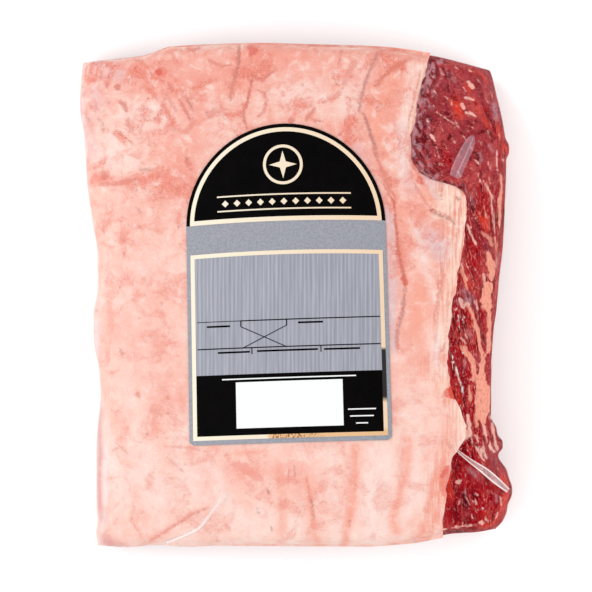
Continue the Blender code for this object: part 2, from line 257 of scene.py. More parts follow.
def rounded_share(u, v):
    """How far the upper side has risen, and the lower side sunk, from the fin: 0 at the rim."""
    from_flank, from_chine = np.maximum(u, 0) * WIDTH, np.maximum(1 - u, 0) * WIDTH
    from_end = np.maximum(np.minimum(v, 1 - v), 0) * LENGTH
    over = rise_of(from_flank, FLANK_ROUND, SIDE_SQUARENESS)
    over = over * rise_of(from_chine, CHINE_ROUND, SIDE_SQUARENESS)
    over = over * rise_of(from_end, END_ROUND, END_SQUARENESS)
    from_side = np.minimum(from_flank, from_chine)
    below = rise_of(from_side, UNDER_ROUND, SIDE_SQUARENESS)
    below = below * rise_of(from_end, UNDER_END_ROUND, SIDE_SQUARENESS)
    return over, below


def lobed(lobes, at):
    """How far the rim reaches out, with its lobes."""
    return FIN_REACH + sum(reach * np.exp(-(((at - centre) / half) ** 4)) for centre, half, reach in lobes)


def spread(u, v, back=0.0, share=1.0):
    """Place in plan of mesh lines: those past -1 and 2 lie a share of the rim's reach outside the
    body, less this far back."""
    wide, long = np.clip(u, 0, 1), np.clip(v, 0, 1)
    x, y = plan(wide, long)
    lobes = np.where(wide < 0.5, lobed(FLANK_LOBES, y), lobed(CHINE_LOBES, y))
    wide = wide + (2 * wide - 1) * (lobes - BARE_RIM) / WIDTH
    wide = np.where(u < -1, (back - lobed(FLANK_LOBES, y)) / WIDTH, wide)
    wide = np.where(u > 2, 1 + (lobed(CHINE_LOBES, y) - back) / WIDTH, wide)
    long = np.where(v < -1, (back - lobed(NEAR_LOBES, x)) * share / LENGTH, long)
    long = np.where(v > 2, 1 + (lobed(FAR_LOBES, x) - back) * share / LENGTH, long)
    return plan(wide, long)


def in_rim(u, v):
    return (u < 0) | (u > 1) | (v < 0) | (v > 1)


def rounded_lines(size, first, last, lines, middle):
    """Shares of a side for mesh lines, close together where the two ends are rounded."""
    angle = np.linspace(0, math.pi / 2, lines + 1)
    start = first * (1 - np.cos(angle)) / size
    end = 1 - last * (1 - np.cos(angle[::-1])) / size
    return np.concatenate([start, np.linspace(start[-1], end[0], middle + 1)[1:-1], end])


def deselect_all():
    if bpy.context.object and bpy.context.object.mode != "OBJECT":
        bpy.ops.object.mode_set(mode="OBJECT")
    bpy.ops.object.select_all(action="DESELECT")


def pressed_slab(name, columns, rows, press):
    """Slab of fine squares, drawn out of a grid, then pressed to shape(u, v, upper)."""
    deselect_all()
    bpy.ops.mesh.primitive_grid_add(x_subdivisions=len(columns) - 1, y_subdivisions=len(rows) - 1,
                                    size=1, calc_uvs=False, location=(0.5, 0.5, 1))
    bpy.ops.object.transform_apply()
    slab = bpy.context.object
    slab.name = slab.data.name = name
    bpy.ops.object.mode_set(mode="EDIT")
    bpy.ops.mesh.select_all(action="SELECT")
    bpy.ops.mesh.extrude_region_move(TRANSFORM_OT_translate={"value": (0, 0, -1)})
    bpy.ops.mesh.select_all(action="SELECT")
    bpy.ops.mesh.normals_make_consistent(inside=False)
    bpy.ops.object.mode_set(mode="OBJECT")
    x, y, z = places_of(slab).T
    u = np.asarray(columns)[np.rint(x * (len(columns) - 1)).astype(int)]
    v = np.asarray(rows)[np.rint(y * (len(rows) - 1)).astype(int)]
    set_places(slab, press(u, v, z > 0.5))
    return slab


def places_of(piece):
    flat = np.empty(len(piece.data.vertices) * 3)
    piece.data.vertices.foreach_get("co", flat)
    return flat.reshape(-1, 3)


def set_places(piece, places):
    piece.data.vertices.foreach_set("co", np.asarray(places, float).ravel())
    piece.data.update()


def set_attribute(piece, name, values):
    layer = piece.data.attributes.new(name, "FLOAT", "POINT")
    layer.data.foreach_set("value", np.asarray(values, np.float32))


def thin_out(piece, hidden, ratio):
    """Coarser mesh where nobody sees it: hidden(places) says which vertices."""
    chosen = hidden(places_of(piece))
    deselect_all()
    bpy.context.view_layer.objects.active = piece
    piece.select_set(True)
    bpy.ops.object.mode_set(mode="EDIT")
    bpy.ops.mesh.select_mode(type="VERT")
    bpy.ops.mesh.select_all(action="DESELECT")
    bpy.ops.object.mode_set(mode="OBJECT")
    piece.data.vertices.foreach_set("select", chosen)
    bpy.ops.object.mode_set(mode="EDIT")
    bpy.ops.mesh.decimate(ratio=ratio)
    bpy.ops.object.mode_set(mode="OBJECT")


def finished(piece, material, replaced, angle=180):
    """Moves the piece as the source moves the pack, gives it its material and hides the part that it stands
    for.
    """
    piece.data.transform(Matrix.Translation(RECENTRED))
    deselect_all()
    bpy.context.view_layer.objects.active = piece
    piece.select_set(True)
    if angle < 180:
        bpy.ops.object.shade_smooth_by_angle(angle=math.radians(angle))
    else:
        bpy.ops.object.shade_smooth()
    facing = np.empty(len(piece.data.polygons) * 3)
    piece.data.polygons.foreach_get("normal", facing)
    piece.data.polygons.foreach_set("use_smooth", facing.reshape(-1, 3)[:, 2] > FLAT_FOOT)
    piece.data.materials.clear()
    piece.data.materials.append(material)
    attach(piece, "root")
    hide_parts(replaced)
    return piece


# The film.

def film_bag(film):
    """Clear film all round, with the welded rim that runs round the piece at half height."""
    columns = rounded_lines(WIDTH, FLANK_ROUND, CHINE_ROUND, 16, 165)
    rows = rounded_lines(LENGTH, END_ROUND, END_ROUND, 12, 205)
    columns, rows = (np.concatenate([[-2], lines, [3]]) for lines in (columns, rows))   # with the rim

    def press(u, v, upper):
        x, y = spread(u, v)
        x = x - (u < -1) * (lobed((FLANK_FLAP,), y) - FIN_REACH)
        over, below = rounded_share(np.clip(u, 0, 1), np.clip(v, 0, 1))
        middle = fin_height(u, v)
        crest, belly = middle + FIN_THICKNESS / 2, middle - FIN_THICKNESS / 2
        flat = 1 - under_label(x, y)
        top = top_height(x, y) + flat * sum(lumps(x, y, *each) for each in FILM_LUMPS)
        z = np.where(upper, crest + (top - crest) * over, belly * (1 - below))
        return np.stack([x, y, z], axis=-1)

    bag = pressed_slab("film_bag", columns, rows, press)
    thin_out(bag, lambda places: places[:, 2] < 1e-5, 0.04)
    x, y, z = places_of(bag).T
    rim = 1 - smooth((x - through(FLANK_EDGE, y) + 0.001) / 0.003)
    off_foot = smooth(z / 0.002)
    set_attribute(bag, "milk", 0.07 * rim * off_foot)
    set_attribute(bag, "crinkle", 0.25 + 0.75 * smooth(past_seam(x, y) / 0.004) * off_foot)
    return finished(bag, film, "vacuum_pack")


# The meat.

def inset(u, v, share=1.0):
    """Place in plan for the meat, a film's thickness inside the bag, and its shares of the way."""
    wide = SKIN / WIDTH + np.clip(u, 0, 1) * (1 - 2 * SKIN / WIDTH)
    long = SKIN / LENGTH + np.clip(v, 0, 1) * (1 - 2 * SKIN / LENGTH)
    x, y = spread(np.where((u < 0) | (u > 1), u, wide), np.where((v < 0) | (v > 1), v, long), SKIN, share)
    return x, y, wide, long


def meat_shell(x, y, u, v):
    """Upper and lower limit of the meat just inside the film, and its middle."""
    over, below = rounded_share(u, v)
    middle = fin_height(u, v)
    top = middle + TONGUE + (top_height(x, y) - SKIN - middle - TONGUE) * over
    return top, (middle - TONGUE) * (1 - below) + SKIN * below, middle


def with_rim(lines, first=True, last=True):
    """Mesh lines with two more past an end, for the foot and the tip of the meat in the rim."""
    return np.concatenate([[-2, -1][:2 * first], lines, [2, 3][:2 * last]])


def lean_top(x, y):
    """Height of the lean's upper side: bare past the seam, under the fat cap before it."""
    past = past_seam(x, y)
    step = np.where(past < 0, 1 + smooth(-past / SEAM_BEVEL), 2 * smooth(past / SEAM_BEVEL / 2 + 0.5)) / 2
    thickness = SEAM_STEP * step
    thickness += CAP_GROWTH * smooth(-past / CAP_RUN) + lumps(x, y, *CAP_WAVE) * smooth(-past / 0.006)
    return cap_height(x, y) - thickness - SKIN - LEAN_LOWER


def seam_share(v):
    """How far across the pack the cap's edge lies, for each row v."""
    low, high = np.zeros_like(v), np.ones_like(v)
    for _ in range(24):
        middle = (low + high) / 2
        x, y, _, _ = inset(middle, v)
        rag = sum(lumps(y, 0 * y, *each) for each in SEAM_RAG)
        before = past_seam(x, y) < rag
        low, high = np.where(before, middle, low), np.where(before, high, middle)
    return low


def fat_cap():
    """The cap of fat: over the top, curled round the flank, with a rounded lip at the lean."""
    columns = with_rim(rounded_lines(WIDTH, FLANK_ROUND, 0.004, 16, 215), last=False)
    rows = rounded_lines(LENGTH, END_ROUND, END_ROUND, 10, 310)
    rows = CAP_END / LENGTH + rows * (1 - 2 * CAP_END / LENGTH)

    def press(u, v, upper):
        row, index = np.unique(v, return_inverse=True)
        rim = in_rim(u, v)
        x, y, u, v = inset(np.where(u < 0, u, u * seam_share(row)[index]), v)
        top, bottom, middle = meat_shell(x, y, u, v)
        base = lean_top(x, y) - TUCK
        curl = smooth((u * WIDTH - WRAP_START) / (WRAP_END - WRAP_START))
        base = np.maximum(bottom, WRAP_LOW + (base - WRAP_LOW) * curl)
        z = np.where(upper, np.maximum(top, base + TUCK), np.minimum(base, top))
        z = np.where(rim, middle + np.where(upper, TONGUE, -TONGUE), z)
        return np.stack([x, y, z], axis=-1)

    cap = pressed_slab("fat_cap", columns, rows, press)
    faces_down = upright(cap) < -0.2
    thin_out(cap, lambda places: faces_down & inside(places), 0.06)
    paint(cap, FAT_MARKS, fat_ground)
    x, y, _ = places_of(cap).T
    fibrous = smooth((past_seam(x, y) + FIBROUS) / 0.008)
    fibrous = fibrous * (1 - 0.7 * smooth((y - 0.052) / 0.01)) * (1 - 0.45 * smooth((0.005 - y) / 0.02))
    set_attribute(cap, "fibrous", fibrous)
    return finished(cap, beef_fat(), "vacuum_pack")


def upright(piece):
    """Each vertex's normal, its upward part."""
    flat = np.empty(len(piece.data.vertices) * 3)
    piece.data.vertex_normals.foreach_get("vector", flat)
    return flat.reshape(-1, 3)[:, 2]


def inside(places):
    """Away from the outline, where the pack's sides would show it."""
    x, y, _ = places.T
    edge = [through(FLANK_EDGE, y) + 0.012, through(NEAR_END, x) + 0.004, through(FAR_END, x) - 0.004]
    return (x > edge[0]) & (y > edge[1]) & (y < edge[2])


def lean_muscle():
    """The muscle: bare along the chine, its cut ends flush with the film, flat underneath."""
    under_cap = np.linspace(LEAN_START / WIDTH, 0.75, 30)
    bare = np.linspace(0.75, 1 - CHINE_ROUND / WIDTH, 80)[1:]
    side = 1 - CHINE_ROUND / WIDTH * (1 - np.sin(np.linspace(0, math.pi / 2, 31)))[1:]
    columns = with_rim(np.concatenate([under_cap, bare, side]), first=False)
    rows = with_rim(rounded_lines(LENGTH, END_ROUND, END_ROUND, 12, 430))

    def press(u, v, upper):
        rim = in_rim(u, v)
        bare = smooth(past_seam(*spread(u, v)) / 0.003)
        x, y, u, v = inset(u, v, 0.05 + 0.95 * bare)
        top, bottom, middle = meat_shell(x, y, u, v)
        z = np.where(upper, np.maximum(np.minimum(top, lean_top(x, y)), bottom), bottom)
        z = np.where(rim, middle + np.where(upper, TONGUE, -TONGUE), z)
        return np.stack([x, y, z], axis=-1)

    lean = pressed_slab("lean_muscle", columns, rows, press)
    sink_fibres(lean)
    thin_out(lean, under_cover, 0.05)
    paint(lean, LEAN_MARKS, lean_ground)
    x, y, z = places_of(lean).T
    # How strongly the painted glints show: more towards the near end, little far down the sides
    set_attribute(lean, "painted_glint", (0.15 + 0.4 * smooth((0.050 - y) / 0.01) + 0.4 * smooth((-0.07 - y) / 0.01))
                  * (1 - 0.8 * smooth((cap_height(x, y, True) - z - 0.014) / 0.01)))
    fibre_places(lean)
    return finished(lean, beef_lean(), "vacuum_pack")


def fibre_places(piece):
    """Keeps each vertex's place with its length along the fibres shortened, for drawn-out patterns."""
    x, y, z = places_of(piece).T
    cut_across = (1 - STRAND_STRETCH) * np.maximum(y - STRANDS_END, 0)
    layer = piece.data.attributes.new("fibres", "FLOAT_VECTOR", "POINT")
    layer.data.foreach_set("vector", np.stack([x + STRAND_SLANT * y, STRAND_STRETCH * y + cut_across, z],
                                              axis=-1).astype(np.float32).ravel())


def under_cover(places):
    x, y, z = places.T
    within = inside(places) & (x < through(CHINE_EDGE, y) - 0.020)
    return within & ((z < 0.001) | (past_seam(x, y) < -0.004))


def sink_fibres(lean):
    """Presses grooves between the bundles of fibres into the upright sides of the muscle."""
    places = places_of(lean)
    x, y, z = places.T
    groove = lumps(x * 0.2 + z, y * STRAND_STRETCH, 0.0007, 0.0050) - 0.0004
    side = smooth((x - through(CHINE_EDGE, y) + 0.014) / 0.008)
    places[:, 0] += side * np.minimum(groove, 0)
    set_places(lean, places)


# Marks: paint, then (strength, half width in mm, x, y, x, y ... in mm) for each.

FAT_MARKS = {
    "rosy": (
        (0.55, 12.8, -87.7, 109.8, -52.7, 106.9, -23, 111.6),
        (0.45, 9.9, -23, 116.5, 16.5, 116.1, 31.2, 108.6),
        (0.45, 7.9, -47.8, 92, -52.7, 72.3, -60.2, 52.5),
        (0.45, 6.9, 21.4, 81.7, 37.1, 66.8, 45.9, 47.2), (0.3, 11.8, -77.7, 22.8, -72.7, -2),
        (0.3, 10.8, -90.2, -16.9, -72.7, -26.8, -60.2, -51.5),
        (0.35, 6.9, -40.3, -86, 1.7, -85.7, 16.5, -100.4), (0.4, 5.9, 54.7, -20.6, 59.6, -33.9),
        (0.75, 2.7, -100.3, 58.7, -85.2, 57.1, -72.7, 59.5, -57.7, 58.5, -41.8, 56.4),
        (0.55, 2.5, -52.7, 121.8, -49.7, 119.8, -42.8, 121.7),
        # painted shadow line, along the upper left side of the film ridge
        (0.55, 1.4, -72.7, -121.1, -62.7, -115, -52.7, -107.9, -43.8, -104.9),
        (0.4, 2.0, 28.3, -75.7, 25.8, -95.4, 22.9, -122.5),
        (0.4, 2.0, 52.8, -70.7, 51.8, -90.3, 48.9, -110),
        (0.35, 2.0, 64.6, -85.4, 65.5, -100.1, 62.6, -113.9),
        (0.55, 2.5, 73.4, -80.5, 72.4, -95.2, 69.5, -110),
        (0.3, 4.4, 44.9, -22.6, 46.9, -41.3, 49.8, -65.8),
        (0.6, 1.3, -98, -77.6, -98.5, -91.5, -99, -107.5), (0.45, 2.0, -57.7, -46.6, -55.7, -56.5),
        (0.5, 1.5, -93.7, -2, -91.7, -16.9), (0.4, 2.5, -65.2, -22.8, -58.7, -24.8),
        (0.4, 2.5, -64.7, 106.6, -57.7, 96.6, -51.7, 86.1),
        (0.4, 0.6, 70.9, -19.1, 70.7, -27.5, 69.9, -37.3),
        (0.4, 0.8, 73.4, -52, 74.8, -60.9, 76.3, -68.7), (0.35, 0.7, 76.3, -53, 77.8, -60.9),
    ),
    "pale": (
        (0.55, 9.9, -77.7, 88.4, -67.7, 88.8), (0.55, 8.9, -3.2, 100.5, 4.7, 100.5),
        (0.6, 5.4, -95.7, 70.1, -83.7, 69.5), (0.45, 2.5, -42.3, 101.9, -42.3, 94),
        (0.35, 7.9, -77.7, 12.9, -67.7, 16.9), (0.45, 12.8, -92.7, -86.5, -72.7, -96.2, -52.7, -91.1),
        (0.4, 10.8, 41, -85.5, 36.1, -110.1), (0.4, 5.9, -18, -110.5, 1.7, -111.3),
        (0.5, 4.9, 23.8, 91.5, 26.3, 101.3, 32.2, 110.1),
        (0.65, 3.9, 58.7, 111.9, 56.2, 101.1, 52.8, 84, 52.8, 66.8),
        (0.65, 1.6, 68.5, -18.7, 67.5, -31.4), (0.8, 0.8, -26.9, 124.9, -26.9, 123),
        (0.45, 2.0, -19, 97.7, -19, 92.8), (0.4, 3.0, 55.7, -46.2, 60.6, -60.9, 62.6, -75.6),
        (0.8, 0.8, -95.2, -61.7, -95.7, -81.6, -96.2, -101.5, -97.7, -117.4),
        (0.5, 3.0, 64.6, 56, 65.5, 54), (0.6, 3.4, 72.4, 45.6, 73.9, 43.2),
        (0.6, 3.9, 70.4, 27.5, 70.9, 22.6), (0.55, 1.3, 69.5, -18.2, 69, -30.4),
        (0.45, 2.5, 65.5, -84.4, 62.6, -110), (0.4, 3.4, 54.7, -85.4, 52.8, -110),
        (0.6, 3.9, 38.1, -75.7, 38.1, -100.2, 35.1, -119.9), (0.55, 3.0, 44.9, -80.6, 42.5, -115),
        (0.6, 3.0, 60.1, -75.6, 57.7, -90.3, 54.3, -104.1),
        (0.6, 2.5, 52.8, 86.4, 51.8, 61.9, 52.8, 47.1),
        (0.7, 2.5, 56.7, 36.3, 60.6, 25, 64.6, 10.3, 68.5, -2), (0.5, 3.4, 16.5, -75.8, 18.4, -100.4),
        (0.5, 3.9, -41.8, -82.1, -34.8, -100.8, -23, -115.5), (0.5, 3.0, 66.5, -85.4, 62.6, -96.2),
        # painted highlight, along the top of the film ridge
        (0.6, 1.2, -47.3, -114.8, -42.8, -107.8, -39.3, -102.3, -35.8, -97.9),
    ),
    # lilac: greyish-lilac patches; the band across the top left corner and the strokes down the left side
    # of the long fold are painted shade
    "lilac": (
        (0.45, 4.4, -94.7, 110.9, -88.7, 110.3), (0.45, 3.9, -100.3, 102.5, -99.8, 93.5),
        (0.35, 3.4, -103.8, 87.6, -102.8, 72.7), (0.4, 3.9, 30.2, 71.8, 36.1, 52.1, 44, 39.8),
        (0.35, 3.4, 51.8, 81.5, 52.8, 66.8, 56.7, 52), (0.7, 2.5, 61.6, 60.9, 66.5, 57.9, 70.4, 55),
        (0.45, 6.4, 63.6, 29.5, 73.4, 22.6), (0.35, 3.9, 47.4, 2.9, 45.9, -11.8),
        (0.5, 2.0, 47.4, 39.3, 47.4, 18.7, 47.4, -2), (0.6, 1.6, 47.4, -5.9, 47.4, -27.5),
        (0.35, 3.0, 70.4, 27.5, 70.9, 22.6), (0.75, 2.0, 62.1, 56.5, 66, 52, 68.5, 48.6),
        (0.6, 2.0, 45.4, 39.8, 45.4, 17.7, 45.7, -2, 45.9, -24.1), (0.5, 3.0, 67.5, 29.5, 70.4, 19.6),
        (0.6, 1.2, 57.7, -119.8, 59.6, -122.2),
    ),
    "peach": (
        (0.65, 4.4, 49.8, 112.9, 45.9, 101.2, 43, 96.3), (0.6, 3.9, 38.1, 91.4, 40, 81.6, 43, 69.3),
        # painted light, on the lit right side of the long fold
        (0.4, 3.4, 46.9, 59.4, 50.8, 47.1, 56.7, 27.5),
        (0.45, 6.9, 60.6, 2.9, 58.2, -16.7, 63.1, -36.3), (0.5, 4.4, 74.4, -65.8, 73.4, -75.6),
        (0.55, 2.5, 50.8, 112.9, 49.8, 106.1), (0.6, 0.9, 56.7, 60.9, 61.1, 54, 64.1, 48.6, 67, 45.7),
        (0.4, 4.9, 60.6, 3.9, 58.7, -16.7), (0.35, 3.0, 77.8, 16.7, 76.3, 2.9, 74.4, -6.9),
        (0.7, 3.9, 72.4, -47.1, 74.4, -50.1), (0.6, 3.0, 69, -90.3, 71.9, -100.1),
        (0.75, 2.2, 29.2, -74.2, 29.7, -85.5, 27.8, -100.3, 25.3, -115.1, 24.3, -122),
        (0.6, 2.2, 55.7, -70.7, 54.7, -85.4, 50.8, -97.7, 47.4, -107.6, 48.9, -114.9),
        (0.6, 2.5, 69, -85.4, 66, -100.1, 62.6, -112.4, 60.6, -120.8),
        (0.5, 2.5, -32.9, -78.6, -17, -77), (0.45, 3.0, -27.9, -88.9, -17, -85.9),
        (0.55, 1.5, 4.7, -90.6, 7.1, -102.9, 8.6, -115.2, 10.6, -122.6),
        (0.8, 0.9, 55.2, 70.7, 57.2, 64.3, 60.6, 58.4, 64.6, 52, 67, 46.1),
        # painted light, on the lit right side of the long fold
        (0.5, 1.7, 48.9, 47.1, 49.8, 32.4, 51.3, 22.6, 53.8, 7.9),
        (0.6, 2.0, 73.4, -76.6, 70.9, -90.3, 68.5, -105, 65.5, -117.3),
        (0.5, 3.0, -9.1, -85.8, -6.2, -100.6, -7.2, -115.4),
        (0.5, 2.5, -52.7, -75.3, -47.8, -71.3, -40.8, -74.2), (0.6, 2.0, 69.5, -43.2, 73.4, -46.1),
    ),
    "cream": (
        (0.55, 1.5, 63.1, 112.9, 59.2, 98.2, 56.2, 81.5, 55.7, 66.8),
        (0.8, 5.9, 74.4, 49.6, 78.3, 36.3), (0.65, 3.0, 80.3, 34.4, 77.8, 16.7, 74.4, -2, 71.9, -24.1),
        (0.6, 3.9, 71.9, -32.4, 73.4, -43.2), (0.6, 4.4, 79.3, -56, 83.3, -66.8),
        (0.7, 0.7, 62.6, 41.2, 66.5, 40.3, 71.4, 36.3, 76.3, 33.9),
        (0.75, 0.8, 68.5, 38.5, 74.4, 35.8, 78.3, 34.4), (0.5, 0.6, 67, 43.7, 72.4, 40.7, 77.8, 38.3),
    ),
    "blood": (
        (0.75, 1.5, -67.7, 112.6, -68.7, 109.6), (0.4, 2.5, -67.7, 113.1, -65.7, 109.1),
        (0.6, 1.8, -23.9, 123.4, -21, 121.4, -23, 119), (0.55, 1.3, 49.3, 23.1, 50.3, 20.1),
        (0.65, 1.3, 52.3, 10.8, 53.8, 5.9), (0.25, 2.0, -31.9, -82.5, -23, -86.9, -17, -90.8),
        (0.4, 2.5, 74.8, -85.4, 73.4, -91.3, 73.4, -98.2), (0.7, 1.3, 60.1, 58.4, 62.1, 55),
        (0.6, 1.0, 49.6, 23.1, 49.8, 20.6), (0.7, 1.1, 52.8, 9.3, 53.8, 4.9),
        (0.7, 0.5, 49.6, -17.2, 49.6, -27), (0.85, 0.6, 81.9, -54, 82.5, -57.5, 83.2, -61.4),
        (0.7, 1.1, 70.9, -89.3, 73.4, -85.4, 74.8, -83.4), (0.6, 2.7, 73.9, -45.6, 76.3, -49.6),
        (0.97, 2.2, 75.8, -44.7, 77.3, -50.1),
        (0.5, 1.6, 73.9, -96.2, 74.8, -90.3, 76.3, -84.4, 78.3, -80),
        (0.35, 2.5, 72.4, -91.3, 73.9, -85.4),
    ),
    "vein_and_shadow": (
        (0.6, 1.6, -89.7, 105.4, -88.7, 102.4), (0.55, 1.3, -88.7, 96.9, -86.2, 95.4, -84.2, 91.4),
        (0.55, 0.6, -83.7, 88.4, -83.2, 84.4, -81.2, 82.4), (0.6, 2.0, -96.7, 60.7, -94.7, 58.7),
        (0.45, 1.0, -98.8, 55.7, -88.7, 55.7, -79.7, 58.1), (0.5, 1.2, -54.7, 68.3, -53.7, 64.4),
        (0.6, 0.8, -28.4, 124.5, -28.4, 117.5, -28.9, 112.6),
        (0.45, 0.8, -29.4, 112.6, -31.4, 104.7, -32.9, 96.3),
        (0.6, 0.7, -23.9, 109.6, -20, 108.6, -16.5, 106.6, -13.1, 110, -9.1, 111.9),
        (0.7, 0.7, -21.5, 108.6, -23, 101.7, -24.4, 94.8, -26.4, 90.4, -25.4, 85.9, -24.4, 82),
        (0.6, 0.5, -19.5, 101.7, -16, 100.2, -14.6, 96.2, -16.5, 90.8, -19.5, 88.3),
        (0.55, 1.6, -4.2, 86.7, -1.2, 86.2), (0.55, 1.2, 4.7, 86.7, 7.6, 90.6, 9.1, 92.5),
        (0.55, 0.6, 6.2, 88.1, 9.6, 86.1, 13.5, 86.1), (0.35, 1.5, -36.8, 91, -40.8, 91, -43.8, 88),
        (0.5, 0.9, -54.2, 122.8, -51.2, 121.8, -47.8, 123.2),
        (0.45, 0.7, -43.8, 116.7, -36.8, 113.7, -31.9, 114.6),
        (0.3, 1.2, -62.7, 83.3, -54.7, 81.2, -49.7, 87.1),
        (0.35, 0.8, -59.7, 91.2, -62.7, 97.1, -64.7, 101.1),
        (0.55, 0.6, 32.2, 90.4, 34.2, 87.5, 35.6, 81.6),
        (0.55, 0.6, 37.6, 71.7, 41.5, 62.9, 44.9, 54, 48.9, 48.1),
        (0.6, 0.9, 56.7, 116.9, 52.3, 114.9, 47.9, 112.5, 43, 108.1, 38.6, 103.2),
        (0.3, 1.5, 29.2, 116, 25.3, 109.2, 23.4, 103.3),
        (0.4, 0.5, 24.3, 106.2, 21.4, 100.3, 14.5, 96.5),
        (0.5, 0.5, 72.9, 10.8, 70.4, 2.9, 68.5, -4.9, 68, -12.8), (0.4, 1.3, 70.4, 7.9, 70.9, 5.9),
        (0.55, 0.6, 72.9, -23.1, 71.4, -27.5),
        (0.35, 0.6, 55.7, 60.9, 58.7, 54, 62.1, 48.1, 64.6, 44.2), (0.5, 0.8, 56.7, 66.8, 58.7, 60.9),
        (0.75, 0.44, 65.5, 42.2, 67.5, 40.7), (0.75, 0.44, 76.3, 36.8, 77.8, 35.4),
        (0.35, 0.9, -87.2, -26.3, -85.7, -30.3), (0.45, 1.3, -79.2, -47.7, -78.2, -50.6),
        (0.35, 1.1, -72.7, -56.6, -66.7, -59), (0.4, 0.5, -92.7, -77.6, -87.7, -74.5, -83.7, -78.5),
        (0.35, 0.5, -65.2, -74.4, -52.7, -75.3, -42.8, -77.2),
        (0.35, 0.5, -63.7, -80.3, -58.7, -85.2, -54.7, -88.1),
        # painted shadow line, the dark edge of the shadow along the upper left side of the film ridge
        (0.5, 0.5, -73.7, -122.6, -63.7, -116, -52.7, -108.9, -44.8, -104.9),
        (0.7, 0.7, 47.9, 47.1, 48.4, 39.3, 49.3, 31.4, 49.8, 22.1, 52.8, 8.8, 53.8, 2.9),
        (0.6, 0.27, 61.1, 111.4, 58.2, 98.2, 55.2, 86.4, 54.3, 80.5),
        (0.45, 0.25, 63.6, 112.9, 60.1, 98.2, 57.2, 85.4, 56.2, 73.6),
        (0.55, 0.39, 67.5, -7.9, 68, -14.2), (0.55, 0.5, 72.4, -23.6, 71.9, -26.5),
        (0.6, 0.5, 69, 7.4, 69.5, 3.9), (0.5, 0.5, 70.9, 7.4, 70.9, 4.4),
        (0.7, 0.44, 55.7, 68.7, 55.7, 65.3), (0.5, 0.34, 71.4, 16.7, 70.9, 9.8),
        (0.4, 0.34, 74.8, -2, 73.9, -10.8, 73.4, -21.6), (0.35, 0.34, 70.4, 0, 69.5, -9.8),
        (0.45, 0.30, 68.5, -37.3, 70.4, -40.3),
        (0.8, 0.34, 66.5, 42.9, 70.4, 40.7, 74.4, 39.3, 77.8, 36.6),
        (0.85, 0.34, 41.5, 56.5, 44.9, 51.6, 47.9, 45.7, 48.4, 39.3, 49.3, 31.4, 50.3, 22.6, 52.8, 10.3,
         53.3, 3.9, 51.8, -6.9, 49.3, -14.7), (0.5, 0.25, 5.2, -89.6, 7.1, -102.9, 8.1, -110.3),
        (0.5, 0.22, -3.7, -84.8, -4.2, -92.7), (0.45, 0.20, 12.1, -101.4, 15, -101.9),
        (0.8, 0.37, -86.2, 21.4, -85.7, 20.9), (0.7, 0.44, -83.2, 18.4, -82.7, 17.4),
        (0.7, 0.39, -66.9, -3.5, -66.7, -4.5), (0.85, 0.34, -78.2, -10.7, -77.7, -11.2),
        (0.7, 0.30, -88.5, -26.3, -87.2, -27.8, -86.7, -29.8), (0.8, 0.34, -55.5, 23.3, -54.7, 21.8),
        (0.5, 0.6, -78.7, -48.2, -77.7, -49.6), (0.6, 0.39, -63.9, -50.1, -63.4, -51.1),
        (0.6, 0.39, -63.7, -57.7, -63.2, -58.5), (0.6, 0.39, -59.7, -58.7, -59.2, -59.5),
        (0.7, 0.34, -88, 4.7, -87.5, 3.5), (0.6, 0.34, -94, 21.1, -93.5, 20.4),
        (0.5, 0.30, -90, -39.8, -89.5, -40.8), (0.5, 0.30, -86.5, -39.7, -86, -40.5),
        (0.5, 0.30, -63.7, -17.8, -63.2, -18.6), (0.45, 0.30, -97.2, 14.9, -96.7, 14.2),
        (0.6, 0.39, -100.5, -7, -100, -8), (0.5, 0.7, -63.7, 105.6, -61.2, 101.6),
        (0.5, 0.9, -58.2, 97.6, -55.7, 93.1, -54.2, 90.1, -52.2, 86.6),
        (0.35, 0.6, -56.2, 99.1, -53.2, 95.1), (0.3, 0.34, 70.9, -25.5, 69.9, -29.5),
    ),
    # dark: small dark marks cut into the fat; their darkness is painted shade in these creases and pits
    "dark": (
        (0.5, 0.44, -54.7, 98.5, -52.2, 94.1, -51.2, 91.1),
        (0.45, 0.6, -98.3, 88.6, -96.7, 85.6, -96.2, 81.6), (0.45, 0.5, -103.8, 88.6, -102.8, 86.6),
        (0.35, 1.0, -93.2, 97, -92.7, 95.5), (0.4, 0.8, -77.7, 62.5, -71.7, 62.5),
        (0.65, 0.44, -54.2, 68.3, -54.2, 67.8), (0.65, 0.44, -44.3, 91.5, -44.3, 90.5),
        (0.75, 0.39, 2.7, 103.9, 3, 103.9), (0.7, 0.39, -83.2, 35.8, -82.9, 35.8),
        (0.6, 0.39, -58.7, 34.2, -58.5, 34.2), (0.85, 0.34, -74.4, -68.5, -74.2, -68.5),
        (0.55, 0.5, -64.7, -70.4, -64.2, -70.9), (0.4, 0.39, -79.7, 44.2, -77.2, 40.7),
        (0.45, 0.44, -28.4, 123.5, -28.4, 114.6, -30.4, 106.7),
        (0.35, 0.44, -89.2, -24.8, -86.7, -27.8, -85.7, -31.8), (0.8, 0.5, 79.3, 48.6, 79.3, 47.1),
        (0.8, 0.27, 65.5, 42.5, 67, 41.7), (0.7, 0.30, 76.8, 36.8, 77.8, 35.8),
        (0.6, 0.25, 7.4, -100.4, 8.4, -106.3, 8.9, -110.3), (0.75, 0.34, -14.6, -95.7, -13.8, -97.4),
        (0.5, 0.20, -1.2, -83.8, -0.7, -88.7), (0.5, 0.20, 26.3, -110.2, 25.8, -113.6),
        (0.55, 0.25, 70.9, 53, 71.2, 47.6), (0.45, 0.20, -19.5, -104.6, -18.5, -107.6),
        (0.5, 0.20, -12.6, -113.9, -12.1, -115.9),
    ),
    "violet": (
        (0.55, 0.7, 40, 119.9, 37.1, 113, 34.2, 106.2, 32.2, 98.3, 30.7, 90.5),
